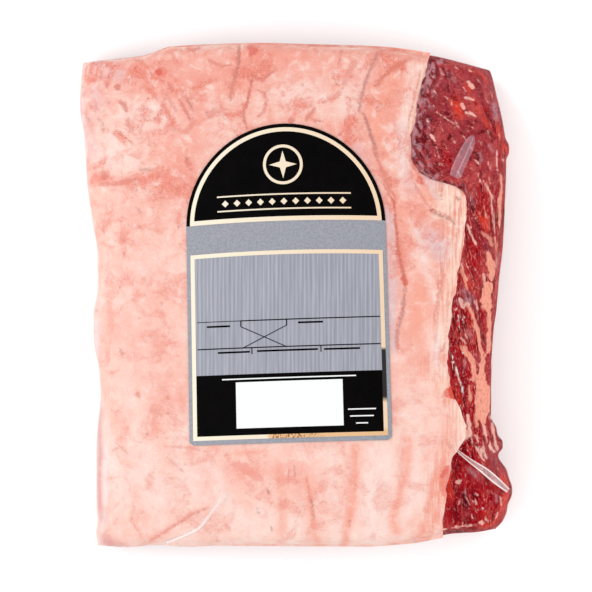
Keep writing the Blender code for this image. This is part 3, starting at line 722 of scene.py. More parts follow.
        (0.65, 0.7, 34.2, 87.5, 36.1, 80.6, 38.6, 73.7, 40, 67.8),
        (0.55, 0.8, 53.3, 3.9, 52.3, -7.9, 49.8, -16.7, 48.9, -25.5),
    ),
    "grey": (
        (0.75, 0.6, 66, 42, 69.9, 39.8, 74.4, 38.3, 77.3, 36.3),
    ),
    # mauve: the long strokes down the lower left edge are painted shade, where the meat's side turns away
    # under the film
    "mauve": (
        (0.55, 1.8, -98.3, -56.7, -99.3, -76.6, -99.3, -96.5, -97.2, -111.4),
        (0.5, 2.5, -95.7, -118.9, -91.7, -122.8, -88.7, -124.7),
        (0.7, 2.2, -97.2, -121.9, -93.7, -123.8),
        (0.5, 1.0, -98.3, -47.8, -98.8, -61.7, -97.7, -76.6, -98.8, -91.5, -98.3, -105.5),
    ),
    "frost": (
        (0.95, 1.0, -100.3, -11.9, -100.3, -20.9, -99.3, -28.9),
        (0.8, 0.7, -106.8, 103.5, -107, 92.6, -106.3, 82.6), (0.6, 2.5, -103.8, 114.5, -97.7, 115.4),
        (0.85, 0.44, -95, -74.6, -94.6, -91.5, -95.2, -103.9, -97, -116.4),
        (0.7, 0.8, -105.8, 77.7, -104.8, 67.7), (0.7, 0.8, 69.2, -18.7, 69, -26.5, 68.5, -34.4),
        (0.5, 0.6, 71.9, -35.8, 72.9, -39.3),
    ),
}

LEAN_MARKS = {
    "mauve": (
        (0.5, 6.9, 72.9, 106, 82.8, 100.2, 75.3, 86.4), (0.7, 2.5, 84.8, 50.1, 86.2, 44.2),
        (0.6, 1.5, 84.8, 38.8, 89.2, 32.4), (0.75, 3.4, 93.7, 26.1, 95.7, 21.6),
        (0.8, 2.5, 79.8, -3.9, 84.3, -2.9, 87.2, -4.9), (0.7, 2.5, 89.2, -28.5, 89.7, -40.8),
        (0.6, 2.5, 76.3, -29, 76.8, -32.4), (0.8, 3.9, 97.2, -78.3, 99.7, -83.7, 101.2, -88.7),
        (0.6, 1.7, 83.8, -99.2, 83.8, -107.6), (0.6, 3.0, 87.2, -84.5, 90.2, -89.5),
        (0.5, 3.9, 65.5, 96.2, 64.6, 71.7), (0.5, 2.0, 95.2, -76.7, 93.2, -70.8),
        (0.4, 0.44, 90, -43.3, 90.7, -50.2, 90.7, -57),
    ),
    "crimson": (
        (0.8, 1.5, 93.2, 92.5, 97.2, 85.1, 98.7, 78.8), (0.8, 2.5, 74.4, 66.8, 76.3, 63.8),
        (0.6, 2.0, 72.9, 71.7, 74.4, 66.8), (0.75, 3.9, 86.7, 22.6, 86.7, 13.8),
        (0.85, 3.4, 79.3, -7.9, 81.3, -14.2, 82.3, -24.1), (0.7, 1.5, 83.8, -34.4, 84.8, -40.3),
        (0.7, 1.5, 94.7, -28.5, 95.2, -42.8), (0.7, 2.5, 85.3, -49.1, 85.7, -57, 86.7, -64.9),
        (0.75, 4.4, 84.3, -73.2, 86.7, -78.6), (0.9, 5.9, 81.3, -93.3, 86.2, -97.3, 90.2, -101.3),
        (0.6, 3.4, 76.3, -100.1, 74.8, -109.9), (0.6, 3.0, 96.2, -102.8, 95.2, -108.2),
        (0.5, 2.0, 94.7, -59, 95.2, -65.9), (0.5, 2.5, 90.2, 54.1, 92.2, 44.8),
        (0.8, 3.4, 74.8, -29.4, 76.3, -35.3, 77.3, -41.2),
        (0.7, 2.5, 81.3, -7.9, 81.3, -16.7, 80.3, -25.5),
        (0.8, 2.5, 81.3, -73.7, 85.3, -76.7, 87.2, -80.6),
    ),
    "orange": (
        (0.85, 2.5, 78.3, 96.2, 79.8, 92.3), (0.7, 1.3, 83.8, 103.2, 85.3, 101.2),
        (0.6, 1.1, 85.3, 112, 90.2, 110.1, 95.2, 106.3), (0.8, 1.1, 92.7, 87.1, 94.7, 83.1),
        (0.85, 1.1, 99.2, 84.7, 101.2, 75.9), (0.9, 1.5, 103.2, 73.9, 104.3, 72),
        (0.9, 2.3, 91.2, 40.3, 94.2, 33.9), (0.8, 1.4, 82.8, 8.8, 85.3, 4.4),
        (0.9, 2.2, 73.9, -87.4, 73.9, -92.3), (0.6, 2.0, 74.4, -94.2, 75.3, -98.2),
        (0.8, 1.2, 102.7, -98.1, 103.2, -102, 101.2, -107.9, 97.2, -112.7, 91.2, -114.1),
        (0.7, 1.5, 101.7, -89.7, 103.2, -92.7), (0.55, 2.0, 93.2, -107.2, 96.2, -110.2),
        (0.6, 2.5, 76.8, -47.1, 78.8, -52), (0.7, 1.5, 84.8, -7.4, 85.7, -11.8),
        (0.75, 0.8, 94.5, -33.4, 94.7, -38.4, 94.7, -41.8), (0.75, 0.7, 93.2, -11.8, 93.7, -19.7),
        (0.8, 2.5, 78.3, 93.8, 80.3, 89.4), (0.6, 1.5, 87.2, 96.3, 90.2, 90.5),
    ),
    "wine": (
        (0.7, 3.0, 83.3, -95.3, 84.3, -100.2, 83.3, -103.2), (0.6, 2.0, 87.2, -16.7, 82.3, -21.6),
        (0.8, 0.8, 73.9, -115.6, 82.8, -115.2, 89.2, -114.8), (0.5, 2.5, 68.5, 98.7, 67.5, 86.4),
        (0.5, 2.0, 62.6, 81.5, 62.6, 66.8), (0.5, 2.0, 100.2, 59.1, 99.7, 52.2),
        (0.5, 2.0, 98.7, 44.3, 99.2, 36.4), (0.4, 2.0, 80.3, -16.7, 81.3, -21.6),
        (0.6, 3.0, 80.8, -9.8, 80.3, -17.7), (0.5, 1.5, 81.8, -39.3, 83.3, -46.2, 84.3, -53.1),
        (0.5, 2.0, 100.2, 92.6, 101.7, 85.7),
    ),
    "lilac": (
        (0.7, 0.8, 65.5, 114.4, 63.1, 104.1, 59.6, 92.3, 57.2, 79, 56.7, 66.8),
        (0.6, 0.7, 59.2, 63.8, 63.6, 59.9, 69, 57.4), (0.85, 1.5, 98, 94.5, 98.7, 88.1),
        (0.6, 0.8, 95.2, 74.3, 96.7, 71.4), (0.75, 0.9, 90.2, 70.3, 91.2, 66.9),
        (0.6, 0.8, 74.4, 109.5, 77.8, 105.6), (0.75, 1.6, 80.3, -2.5, 85.3, -2.5),
        (0.8, 1.3, 84.3, -17.2, 85.3, -19.7), (0.6, 0.7, 100.5, 21.2, 99.5, 13.8),
        (0.65, 0.6, 82.6, -31.4, 82.6, -35.9), (0.6, 1.5, 82.3, 2.9, 85.3, -0.5),
        (0.6, 1.1, 85.3, -85.5, 88.2, -88.5), (0.7, 0.5, 83, -95.3, 83, -97.8),
        (0.7, 0.6, 98.7, -98.5, 98.7, -101.4), (0.6, 1.0, 91.7, -73.8, 92.2, -78.7),
        (0.5, 0.8, 63.1, 96.2, 62.6, 92.3), (0.5, 0.7, 60.6, 86.4, 61.1, 82.5),
        (0.5, 0.7, 59.6, 74.1, 60.6, 71.7), (0.5, 0.8, 85.7, 49.1, 86.7, 45.7),
    ),
    "plum": (
        (0.85, 0.44, 65.5, 114.9, 66, 114.4), (0.8, 0.6, 62.1, 102.1, 61.1, 100.2),
        (0.85, 0.6, 60.1, 94.3, 59.6, 92.3), (0.75, 0.6, 59.2, 76.6, 59.2, 74.6),
        (0.9, 0.7, 58.7, 65.8, 60.1, 64.8), (0.7, 0.5, 63.6, 108, 62.6, 105.1),
        (0.7, 0.5, 61.1, 89.4, 60.6, 86.4), (0.65, 0.5, 60.1, 82.5, 60.6, 80),
        (0.7, 0.5, 60.6, 70.7, 61.6, 68.2), (0.7, 0.6, 92.2, 92.9, 94.7, 88.5, 97.2, 84.7, 98.2, 79.8),
        (0.75, 0.8, 86.2, 44.2, 87.7, 42.3), (0.6, 0.6, 84.8, 47.2, 86.2, 43.2, 88.2, 38.3, 91.2, 29.5),
        (0.6, 0.6, 91.7, 25.6, 94.2, 21.6), (0.6, 0.5, 88.2, 22.6, 90.2, 19.7),
        (0.85, 0.39, 78.8, -35.4, 80.8, -40.8, 82.3, -47.2),
        (0.8, 0.39, 83.3, -53.1, 85.3, -60.9, 86.2, -65.9),
        (0.7, 0.7, 90.2, -10.3, 92.2, -19.2, 93.7, -25.6),
        (0.75, 1.0, 81.8, -97.3, 83.3, -101.2, 82.3, -104.1),
        (0.8, 0.34, 71.4, -116.6, 76.3, -116.1, 82.8, -115.9), (0.6, 0.6, 96.2, 37.4, 96.7, 32.5),
        (0.55, 0.5, 73.9, 103.1, 75.3, 100.1), (0.5, 0.6, 83.3, 86.5, 87.2, 83.6),
        (0.6, 0.5, 84.3, -70.8, 85.3, -73.7), (0.6, 0.5, 81.3, -74.7, 83.3, -76.6),
        (0.9, 0.39, 78.8, -36.8, 79.8, -40.3, 80.8, -45.2, 81.5, -48.1),
        (0.8, 0.34, 85.7, -66.8, 85.5, -73.7), (0.75, 0.44, 76.8, -10.8, 77.8, -14.7),
        (0.8, 0.5, 79.8, -15.2, 80.3, -18.7), (0.8, 0.5, 82.3, -12.8, 83.3, -16.7),
        (0.7, 0.44, 77.8, -20.6, 79.3, -23.6), (0.8, 0.39, 84.3, -19.7, 85.3, -24.1),
        (0.7, 0.39, 76.3, -37.3, 76.8, -41.2), (0.8, 0.44, 81.8, -49.6, 83.3, -54),
        (0.7, 0.5, 64.6, 104.1, 65.5, 101.1), (0.75, 0.5, 63.6, 96.2, 64.6, 93.3),
        (0.7, 0.5, 65.5, 88.4, 66.5, 85.4), (0.75, 0.5, 62.6, 79.5, 64.1, 76.6),
        (0.7, 0.5, 64.1, 71.7, 65.5, 67.7), (0.7, 0.44, 67.5, 110, 69, 108),
        (0.7, 0.5, 66.5, 76.6, 67.5, 73.6), (0.75, 0.5, 62.6, 61.9, 65.5, 59.9),
        (0.7, 0.5, 68.5, 62.8, 70.4, 60.9),
    ),
    # fleck: pale flecks of fat, some of them painted glints
    "fleck": (
        (0.85, 1.0, 84.3, 105.9, 87.2, 102.2), (0.75, 0.6, 82.5, 97.8, 87.5, 96.5),
        (0.8, 0.9, 81, 94.8, 82.6, 91.6), (0.85, 0.6, 83, 90.4, 86.7, 89.5, 88.2, 88.3),
        (0.6, 0.27, 69.1, 90.3, 74.4, 86.6, 80.5, 82.5), (0.95, 0.5, 65.8, 79.3, 68.3, 76),
        (0.9, 0.34, 64.1, 86.9, 65, 85.4), (0.75, 0.39, 67.5, 101.1, 68.7, 99.6),
        (0.7, 0.44, 84.8, 111.5, 86.2, 110.3), (0.7, 0.44, 87.9, 67.1, 90.4, 64.3),
        (0.85, 0.7, 99.2, 71.9, 99.4, 67, 99.5, 62), (0.6, 0.30, 69.9, 65.4, 72.7, 63.8),
        (0.75, 0.34, 67.9, 70.2, 68.3, 68.7), (0.5, 0.25, 68.7, 73.6, 70.3, 67.1),
        (0.8, 0.44, 88.7, 61.1, 91.2, 55.4), (0.75, 0.44, 92.1, 57, 96.2, 49.7, 97.1, 39.4, 97.9, 31),
        (0.8, 0.44, 97.9, 54.6, 100.4, 45.8, 100.8, 37.4),
        (0.85, 0.44, 83.8, 35.4, 85.7, 30.5, 88.3, 25.3), (0.6, 0.25, 86.7, 40.8, 89.7, 35.4),
        (0.8, 0.5, 80.9, 15.9, 82.2, 11, 83.8, 7.7), (0.7, 0.6, 92.1, 11.3, 92.9, 4.9),
        (0.85, 0.5, 85.7, -40.8, 86, -41.5), (0.7, 0.34, 85.9, -68.3, 86.7, -74.4),
        (0.8, 0.7, 87.9, -68.3, 90.4, -72.4, 91.2, -79.7),
        (0.8, 0.6, 91.7, -61, 92.9, -67.1, 95.3, -74.5, 98.2, -77.3),
        (0.85, 0.7, 96.6, -65, 98.7, -71.2, 100.4, -73.4), (0.85, 0.7, 96.4, -59.1, 96.7, -61.5),
        (0.75, 1.0, 78.8, -90.8, 80.3, -92.3), (0.75, 0.27, 87.9, -96.8, 88.7, -98.1, 90, -97.8),
        (0.6, 0.22, 88, -99.8, 88.7, -103), (0.85, 1.1, 90.2, -111.4, 92.2, -111.6),
        (0.8, 0.5, 92.9, -109.1, 94.9, -112), (0.7, 0.44, 100.7, -99, 101.6, -104),
        (0.75, 0.5, 75.2, -114.2, 82.6, -113, 89.2, -112.7), (0.9, 0.5, 70.7, -115.4, 73.9, -114.6),
        (0.6, 0.25, 83.3, -98.7, 85.3, -102.7), (0.5, 0.25, 80.8, -100.2, 78.8, -104.1),
        (0.8, 0.44, 99.7, -106.9, 98.7, -110.3), (0.6, 0.44, 79.3, 61.4, 80.8, 58),
        (0.6, 0.30, 76.3, 96.2, 76.3, 93.3), (0.6, 0.7, 102.5, 68, 102.5, 67),
        (0.5, 0.30, 94.2, 66.9, 96.2, 61), (0.6, 0.34, 81.3, -20.6, 83.3, -23.6),
        (0.6, 0.30, 86.2, -100.3, 87.2, -101.7), (0.5, 0.39, 70.9, 110, 72.9, 108.5),
        (0.85, 1.1, 84.4, -58, 84.9, -63.4, 85.3, -69.3),
        (0.8, 0.6, 82.9, -62.9, 83.6, -67.8, 83.3, -70.7),
        (0.85, 0.7, 91.7, -62, 93.9, -68.9, 96.2, -75.5, 98.4, -77.5),
        (0.8, 0.6, 90.2, -68.8, 91.7, -73.8, 93.2, -79.7),
        (0.75, 0.8, 96.9, -63, 98, -68.9, 99, -74.3, 99.7, -76.8),
        (0.8, 0.5, 88.2, -73.7, 90.2, -78.2, 92.7, -81.6), (0.7, 0.39, 85.3, -47.2, 85.6, -52.1),
        (0.7, 0.34, 82.3, -18.2, 83.8, -20.6), (0.75, 1.0, 79.8, -1, 81.8, -4.9, 85.3, -3.9),
        (0.6, 0.5, 88.2, -2, 89.2, -6.9),
        (0.8, 0.39, 77.8, -35.8, 79.3, -39.3, 80.8, -43.2, 82.3, -49.1),
        (0.55, 0.22, 65.5, 110, 67.5, 107), (0.55, 0.22, 72.9, 98.2, 74.8, 96.7),
        (0.6, 0.25, 77.8, 86.4, 79.8, 83.5), (0.55, 0.22, 70.9, 83.4, 72.4, 80.5),
        (0.6, 0.25, 76.3, 77.6, 78.3, 75.1), (0.55, 0.22, 73.4, 73.6, 74.8, 70.7),
        (0.6, 0.25, 81.3, 79.6, 83.3, 76.6), (0.55, 0.22, 86.2, 83.5, 88.2, 80.6),
        (0.6, 0.25, 93.2, 98.4, 94.7, 95.4), (0.55, 0.25, 96.2, 101.4, 97.2, 98.4),
        (0.55, 0.22, 67, 94.3, 68, 92.3), (0.6, 0.25, 64.6, 83.5, 66, 82),
        (0.55, 0.25, 79.3, 70.7, 80.8, 67.8), (0.6, 0.25, 85.3, 73.7, 86.7, 71.8),
        (0.6, 0.25, 94.2, 81.7, 95.2, 77.7), (0.55, 0.25, 89.7, 76.7, 91.2, 73.8),
        (0.6, 0.30, 100.2, 80.8, 100.7, 76.8), (0.6, 0.30, 77.8, 112.9, 79.8, 111.5),
        (0.6, 0.25, 89.2, 107.2, 91.2, 104.7), (0.6, 0.25, 81.8, 103.2, 83.3, 100.7),
        (0.55, 0.25, 94.7, 59, 95.7, 54.1), (0.6, 0.30, 87.2, 53.1, 89.2, 48.2),
        (0.6, 0.30, 92.2, 44.3, 93.7, 38.4), (0.55, 0.25, 81.3, 52.1, 82.8, 47.2),
        (0.5, 0.30, 91.2, -48.2, 92.2, -53.1, 92.7, -58.5),
        (0.4, 0.30, 93.7, -45.3, 94.4, -51.2, 94.7, -57.1),
    ),
    "strip": (
        (0.85, 0.8, 101, 61.1, 101.6, 53.7, 100.8, 44.8, 100.4, 33.5),
        (0.9, 1.7, 94.2, 21.6, 96.4, 14.8, 96.4, 7.9), (0.95, 2.7, 94.4, 6.9, 93.9, 0, 94.4, -6.9),
        (0.9, 1.3, 95.2, -6.9, 95.2, -16.7, 95.3, -27.6),
        (0.9, 0.9, 84.5, -5.3, 86.7, -9.1, 87.8, -13.5, 89.5, -18.4, 90.3, -23.9, 91.5, -28.3, 91.7,
         -32.7, 90.6, -37.1, 89.5, -40.3, 88.4, -42.8),
        (0.9, 1.1, 95.7, -26.6, 93.4, -30.5, 92, -34.4, 91.2, -38.4),
        (0.95, 2.5, 92.5, -36.4, 92, -43.3, 92.2, -50.2, 92.5, -57, 92.2, -62.9),
        (0.95, 1.7, 94.4, -44.3, 94.6, -51.2, 94.1, -59),
        (0.9, 1.0, 90.2, -40.3, 89.1, -47.2, 89.1, -56, 88.7, -64.9),
        (0.9, 1.3, 81.2, -24.8, 84, -28.3, 86.2, -31, 87.3, -34.9, 87.6, -39.3, 86.7, -41.8),
        (0.8, 0.9, 84.7, -43.7, 85.1, -48.2, 85.3, -51.6),
        (0.6, 0.8, 90.7, 31.5, 95.2, 28.5, 97.2, 24.6), (0.7, 0.5, 98.2, 29.5, 99.2, 21.7, 98.7, 13.8),
        (0.8, 0.7, 80.6, 15.2, 82.3, 9.3, 83.9, 2.9),
    ),
    # silver: painted glints, small highlights of the film on the wet lean, standing up a little
    "silver": (
        (0.8, 0.39, 82.1, -10.1, 82.4, -11.1), (0.8, 0.25, 78, -6.7, 78.1, -7.1),
        (0.95, 0.30, 77.1, -32.9, 77.5, -32.1), (0.9, 0.20, 83.5, 16, 83.6, 15.7),
        (0.9, 0.20, 85.6, 14.7, 85.6, 14.5), (0.9, 0.20, 87.1, 13.5, 87.2, 13.3),
        (0.9, 0.20, 84.6, 12.5, 84.7, 12.3), (0.9, 0.22, 85.2, -76.7, 85.5, -77.6),
        (0.9, 0.22, 84.1, -75.7, 84.3, -76.2), (0.9, 0.25, 80.9, -90.6, 81.2, -90.9),
        (0.9, 0.22, 80.1, -93.8, 80.3, -94.1), (0.8, 0.20, 93.9, -79.9, 94.1, -80.1),
        (0.8, 0.20, 89.5, -105.5, 89.7, -105.7), (0.8, 0.20, 91.7, -104.3, 92.2, -104.7),
        (0.8, 0.20, 92.7, -105.7, 93.2, -106.2), (0.8, 0.22, 80, -14.7, 80.3, -16.2),
        (0.8, 0.20, 88.2, 12.8, 88.3, 12.5), (0.8, 0.22, 77.8, -26.5, 78.1, -27),
        (0.9, 0.25, 85.3, -78.1, 86, -79.6), (0.9, 0.20, 81.5, -10.8, 82, -12),
        (0.95, 0.27, 79.3, -9.6, 79.5, -12.5), (0.95, 0.31, 78.1, -34.6, 79, -36.8, 79.8, -39.3),
        (0.95, 0.30, 80.6, -41.7, 81.5, -45.2, 82.3, -49.1), (0.9, 0.22, 81.6, -27.5, 82, -29),
        (0.9, 0.22, 76.6, -29.5, 76.8, -30.9), (0.9, 0.22, 83.6, -37.3, 83.8, -39.3),
    ),
    "deep": (
        (0.9, 1.5, 91.5, -8.4, 92.5, -12.8, 93.2, -18.7),
        (0.9, 1.1, 91.2, -22.1, 92.5, -24.6, 93.4, -27.1),
        (0.9, 1.6, 95.1, -28.5, 94.8, -35.4, 95.1, -43.3), (0.85, 0.8, 95, -60, 95, -66.9, 94.5, -73.3),
        (0.85, 1.0, 90, -64.4, 90.5, -69.3, 91, -74.7), (0.8, 1.0, 100.5, 71.9, 100.2, 66, 100.7, 61.1),
        (0.7, 0.8, 99, 58.1, 99, 49.2, 98.5, 40.4), (0.8, 0.8, 85.7, -53.1, 86.7, -60.9, 87.2, -68.8),
        (0.7, 0.6, 83.3, -35.4, 84, -41.3, 84.3, -47.2), (0.8, 0.6, 98.7, -67, 99.5, -70.9, 100, -73.9),
    ),
}


# Colours that are brushed on by place: what each mark is, and whether it is cut in or stands up.

MM = 0.001
# Of the fat's paints, dark is painted shade in creases and pits; lilac and mauve are partly painted shade,
# peach and pale partly painted light, and rosy and the veins partly a painted shadow line, as marked in the
# tables above
PAINTS = {
    "rosy": "D08678", "pale": "D8C0B9", "cream": "D8BEAD", "peach": "D38C78", "lilac": "BEA4A8",
    "blood": "BA382B", "vein_and_shadow": "B05042", "dark": "783C3C", "violet": "95595C", "grey": "986F65",
    "mauve": "B78284", "frost": "CCC3C7",
}
# Of the muscle's paints, silver is painted glints, and fleck is pale fat with some painted glints among it
LEAN_PAINTS = {
    "mauve": "91383F", "crimson": "930916", "orange": "BA3122", "wine": "6A0816", "lilac": "9F7179",
    "fleck": "D8A69A", "strip": "D38C78", "deep": "8A131D", "plum": "3D0714", "silver": "D5C6C6",
}
SHARP = ("blood", "vein_and_shadow", "dark", "violet", "grey", "fleck", "strip", "deep", "plum", "silver")
CUTS = {"dark": 0.0003, "vein_and_shadow": 0.0002, "violet": 0.0005, "grey": 0.0007}       # depths
RIDGES = {"fleck": 0.0003, "strip": 0.0006, "plum": -0.0004, "silver": 0.0004}  # heights
FINEST_MARK = 0.0006                 # a finer one would fall between the mesh's lines
MARK_WOBBLE = ((0.45, 0.0045), (0.35, 0.0016))           # unevenness of a mark's edge
FAT_MARK_DEPTH, LEAN_MARK_DEPTH, MARK_FADE = 0.007, 0.020, 0.014    # how far down a side marks run


def path_of(places):
    """Line of points in plan from a flat row of millimetres."""
    return [(places[i] * MM, places[i + 1] * MM) for i in range(0, len(places), 2)]


def linear(hex_colour):
    """Linear colour of an sRGB hex value."""
    parts = [int(hex_colour[i:i + 2], 16) / 255 for i in (0, 2, 4)]
    return (*(p / 12.92 if p <= 0.04045 else ((p + 0.055) / 1.055) ** 2.4 for p in parts), 1.0)


def towards(colours, hex_colour, share):
    """Moves an array of colours part of the way to one colour."""
    return colours + (np.array(linear(hex_colour)[:3]) - colours) * np.asarray(share)[:, None]


def fat_ground(x, y, z):
    """The cap's own colour, redder at the far end, and how strongly it is blotched."""
    far = smooth((y + 0.015) / 0.105)
    flank = smooth((-0.055 - x) / 0.04)
    colours = np.tile(np.array(linear("D8B3A8")[:3]), (len(x), 1))
    colours = towards(colours, "D29E91", far * (1 - 0.45 * flank))
    colours = towards(colours, "D48676", 0.40 * smooth((x - 0.040) / 0.012) * smooth((y + 0.030) / 0.02))
    patches = lumps(x, y, 1.0, 0.026)
    colours = towards(colours, "D8C0B7", np.clip(patches - 0.05, 0, 1) * 0.9)
    colours = towards(colours, "D38A7B", np.clip(-patches - 0.08, 0, 1) * (0.35 + 0.7 * far))
    bands = lumps(x + 0.25 * y, y * 0.14, 1.0, 0.010) * smooth((-0.02 - y) / 0.05)
    colours = towards(colours, "D8C1B9", np.clip(bands, 0, 1) * 0.7)
    colours = towards(colours, "D3988A", np.clip(-bands, 0, 1) * 0.8)
    depth = cap_height(x, y, True) - z
    colours = towards(colours, "D3B59F", smooth((depth - 0.012) / 0.02) * 0.7)
    return colours, 0.42 + 0.58 * far


def lean_ground(x, y, z):
    """The muscle's own colour: duller and speckled at the far block, wet and dark at the near one."""
    colours = np.tile(np.array(linear("8A131B")[:3]), (len(x), 1))
    far = smooth((y - 0.045) / 0.02)
    near = smooth((-0.07 - y) / 0.01)
    colours = towards(colours, "8E2C33", far)
    colours = towards(colours, "840811", near * 0.8)
    patches = lumps(x + STRAND_SLANT * y, y * (0.3 + 0.7 * far), 1.0, 0.009, z)
    colours = towards(colours, "B04B48", np.clip(patches, 0, 1) * (0.8 + 0.3 * far))
    colours = towards(colours, "660714", np.clip(-patches, 0, 1) * 0.9)
    low = smooth((cap_height(x, y, True) - z - 0.007) / 0.006)
    border = far * smooth((0.011 - past_seam(x, y)) / 0.006) * (1 - low)
    speckles = lumps(x, y * 0.7, 1.0, 0.0022)
    colours = towards(colours, "AA8790", border * smooth((speckles - 0.02) / 0.15) * 0.75)
    colours = towards(colours, "4F0C19", border * smooth((-speckles - 0.02) / 0.15) * 0.75)
    silverskin = 1 - smooth((z - 0.0010) / 0.004)
    colours = towards(colours, "9F7474", silverskin * 0.75)
    return colours, 1 - 0.5 * near - 0.55 * far


def paint(piece, marks, ground):
    """Brushes the ground and the soft marks onto the piece as "brushed". The sharp marks are kept
    apart as "marked", colour and distance inside the mark's edge in mm: the material draws them."""
    x, y, z = places_of(piece).T
    colours, strength = ground(x, y, z)
    own = LEAN_PAINTS if ground is lean_ground else PAINTS
    wobble = 1 + sum(lumps(x, y, *each) for each in MARK_WOBBLE)
    low = LEAN_MARK_DEPTH if ground is lean_ground else FAT_MARK_DEPTH
    shown = 1 - smooth((cap_height(x, y, True) - z - low) / MARK_FADE)
    for name in (name for name in marks if name not in SHARP):
        for share, half_width, *places in marks[name]:
            gap = away_from(path_of(places), x, y) / (half_width * MM) * wobble
            colours = towards(colours, own[name], share * np.exp(-(gap**2)) * shown)
    marked, depth = colours.copy(), np.full(len(x), -9.0)
    for name in (name for name in marks if name in SHARP):
        for share, half_width, *places in sorted(marks[name]):
            gap, half = tapered(path_of(places), half_width, x, y)
            deep = half - gap / MM * wobble
            nearer = (deep > 0) | (deep > np.maximum(depth, -3.0))
            marked[nearer] = towards(colours[nearer], own[name], share * shown[nearer])
            depth = np.maximum(depth, deep)
    for name, colour, alpha in (("brushed", colours, strength), ("marked", marked, depth)):
        layer = piece.data.attributes.new(name, "FLOAT_COLOR", "POINT")
        layer.data.foreach_set("color", np.column_stack([colour, alpha]).astype(np.float32).ravel())


# Materials, and the sizes of their patterns in metres.

BLOTCH, LOBULE = 0.015, 0.0055
WISPS = ((0.011, 0.014, "B5594D"), (0.006, 0.018, "A9544B"))    # (size, width in the noise, colour)
CUT_FIBRE, FIBRE_TURN, FIBRE_STRETCH = 0.0011, 0.12, 0.07
# The third size is that of the painted glint specks on the muscle
BUNDLE, FAT_THREAD, PAINTED_GLINT_SPECK = 0.0034, 0.0022, 0.0010
FAT_TEAR, LEAN_TEAR = 0.0013, 0.0014                 # along the edges of the sharp marks
CRINKLE, RUB = 0.0030, 0.006
# The real grain of these is finer: they are drawn as coarse as they need to be to show.
MEAT_GRAIN, PAPER_GRAIN, PAPER_FIBRE, STRIPE_GRAIN = 0.0008, 0.0009, 0.0007, 0.0007
FOIL_GRAIN, FOIL_SPECKLE = 0.0008, 0.0009


def add_node(tree, kind, inputs=(), **settings):
    """Adds a node with its settings. An input takes a value, an output or a node's first output."""
    made = tree.nodes.new("ShaderNode" + kind)
    for name, value in settings.items():
        setattr(made, name, value)
    for name, value in dict(inputs).items():
        if isinstance(value, bpy.types.Node):
            value = value.outputs[0]
        if isinstance(value, bpy.types.NodeSocket):
            tree.links.new(value, made.inputs[name])
        else:
            made.inputs[name].default_value = value
    return made


def new_material(name):
    material = bpy.data.materials.new(name)
    material.use_nodes = True
    material.node_tree.nodes.clear()
    return material, material.node_tree


def laid_over(tree, colour, pattern, start, full, share, tint, strength=1.0):
    """The colour with a tint laid over it, softly, as the pattern runs from start to full."""
    shown = add_node(tree, "MapRange", {0: pattern, 1: start, 2: full, 3: 0.0, 4: share},
                     interpolation_type="SMOOTHSTEP")
    shown = add_node(tree, "Math", {0: shown, 1: strength}, operation="MULTIPLY")
    tint = linear(tint) if isinstance(tint, str) else tint
    return add_node(tree, "Mix", {0: shown, 6: colour, 7: tint}, data_type="RGBA").outputs[2]


def with_marks(tree, colour, place, size, torn, edge):
    """The sharp marks laid over the colour, their edges torn by noise: the last two are in mm."""
    marked = add_node(tree, "Attribute", attribute_name="marked")
    tear = add_node(tree, "TexNoise", {
        "Vector": place, "Scale": 1 / size, "Detail": 5.0, "Roughness": 0.65})
    depth = add_node(tree, "Math", {0: tear, 1: torn, 2: marked.outputs["Alpha"]},
                     operation="MULTIPLY_ADD")
    return laid_over(tree, colour, depth, torn / 2 - edge, torn / 2 + edge, 1.0, marked.outputs["Color"])


def surfaced(tree, colour, height, strength, distance, look):
    """Gives the material this colour, a bump and the rest of its look."""
    bump = add_node(tree, "Bump", {"Strength": strength, "Distance": distance, "Height": height})
    shader = add_node(tree, "BsdfPrincipled", {"Base Color": colour, "Normal": bump, **look})
    add_node(tree, "OutputMaterial", {"Surface": shader})


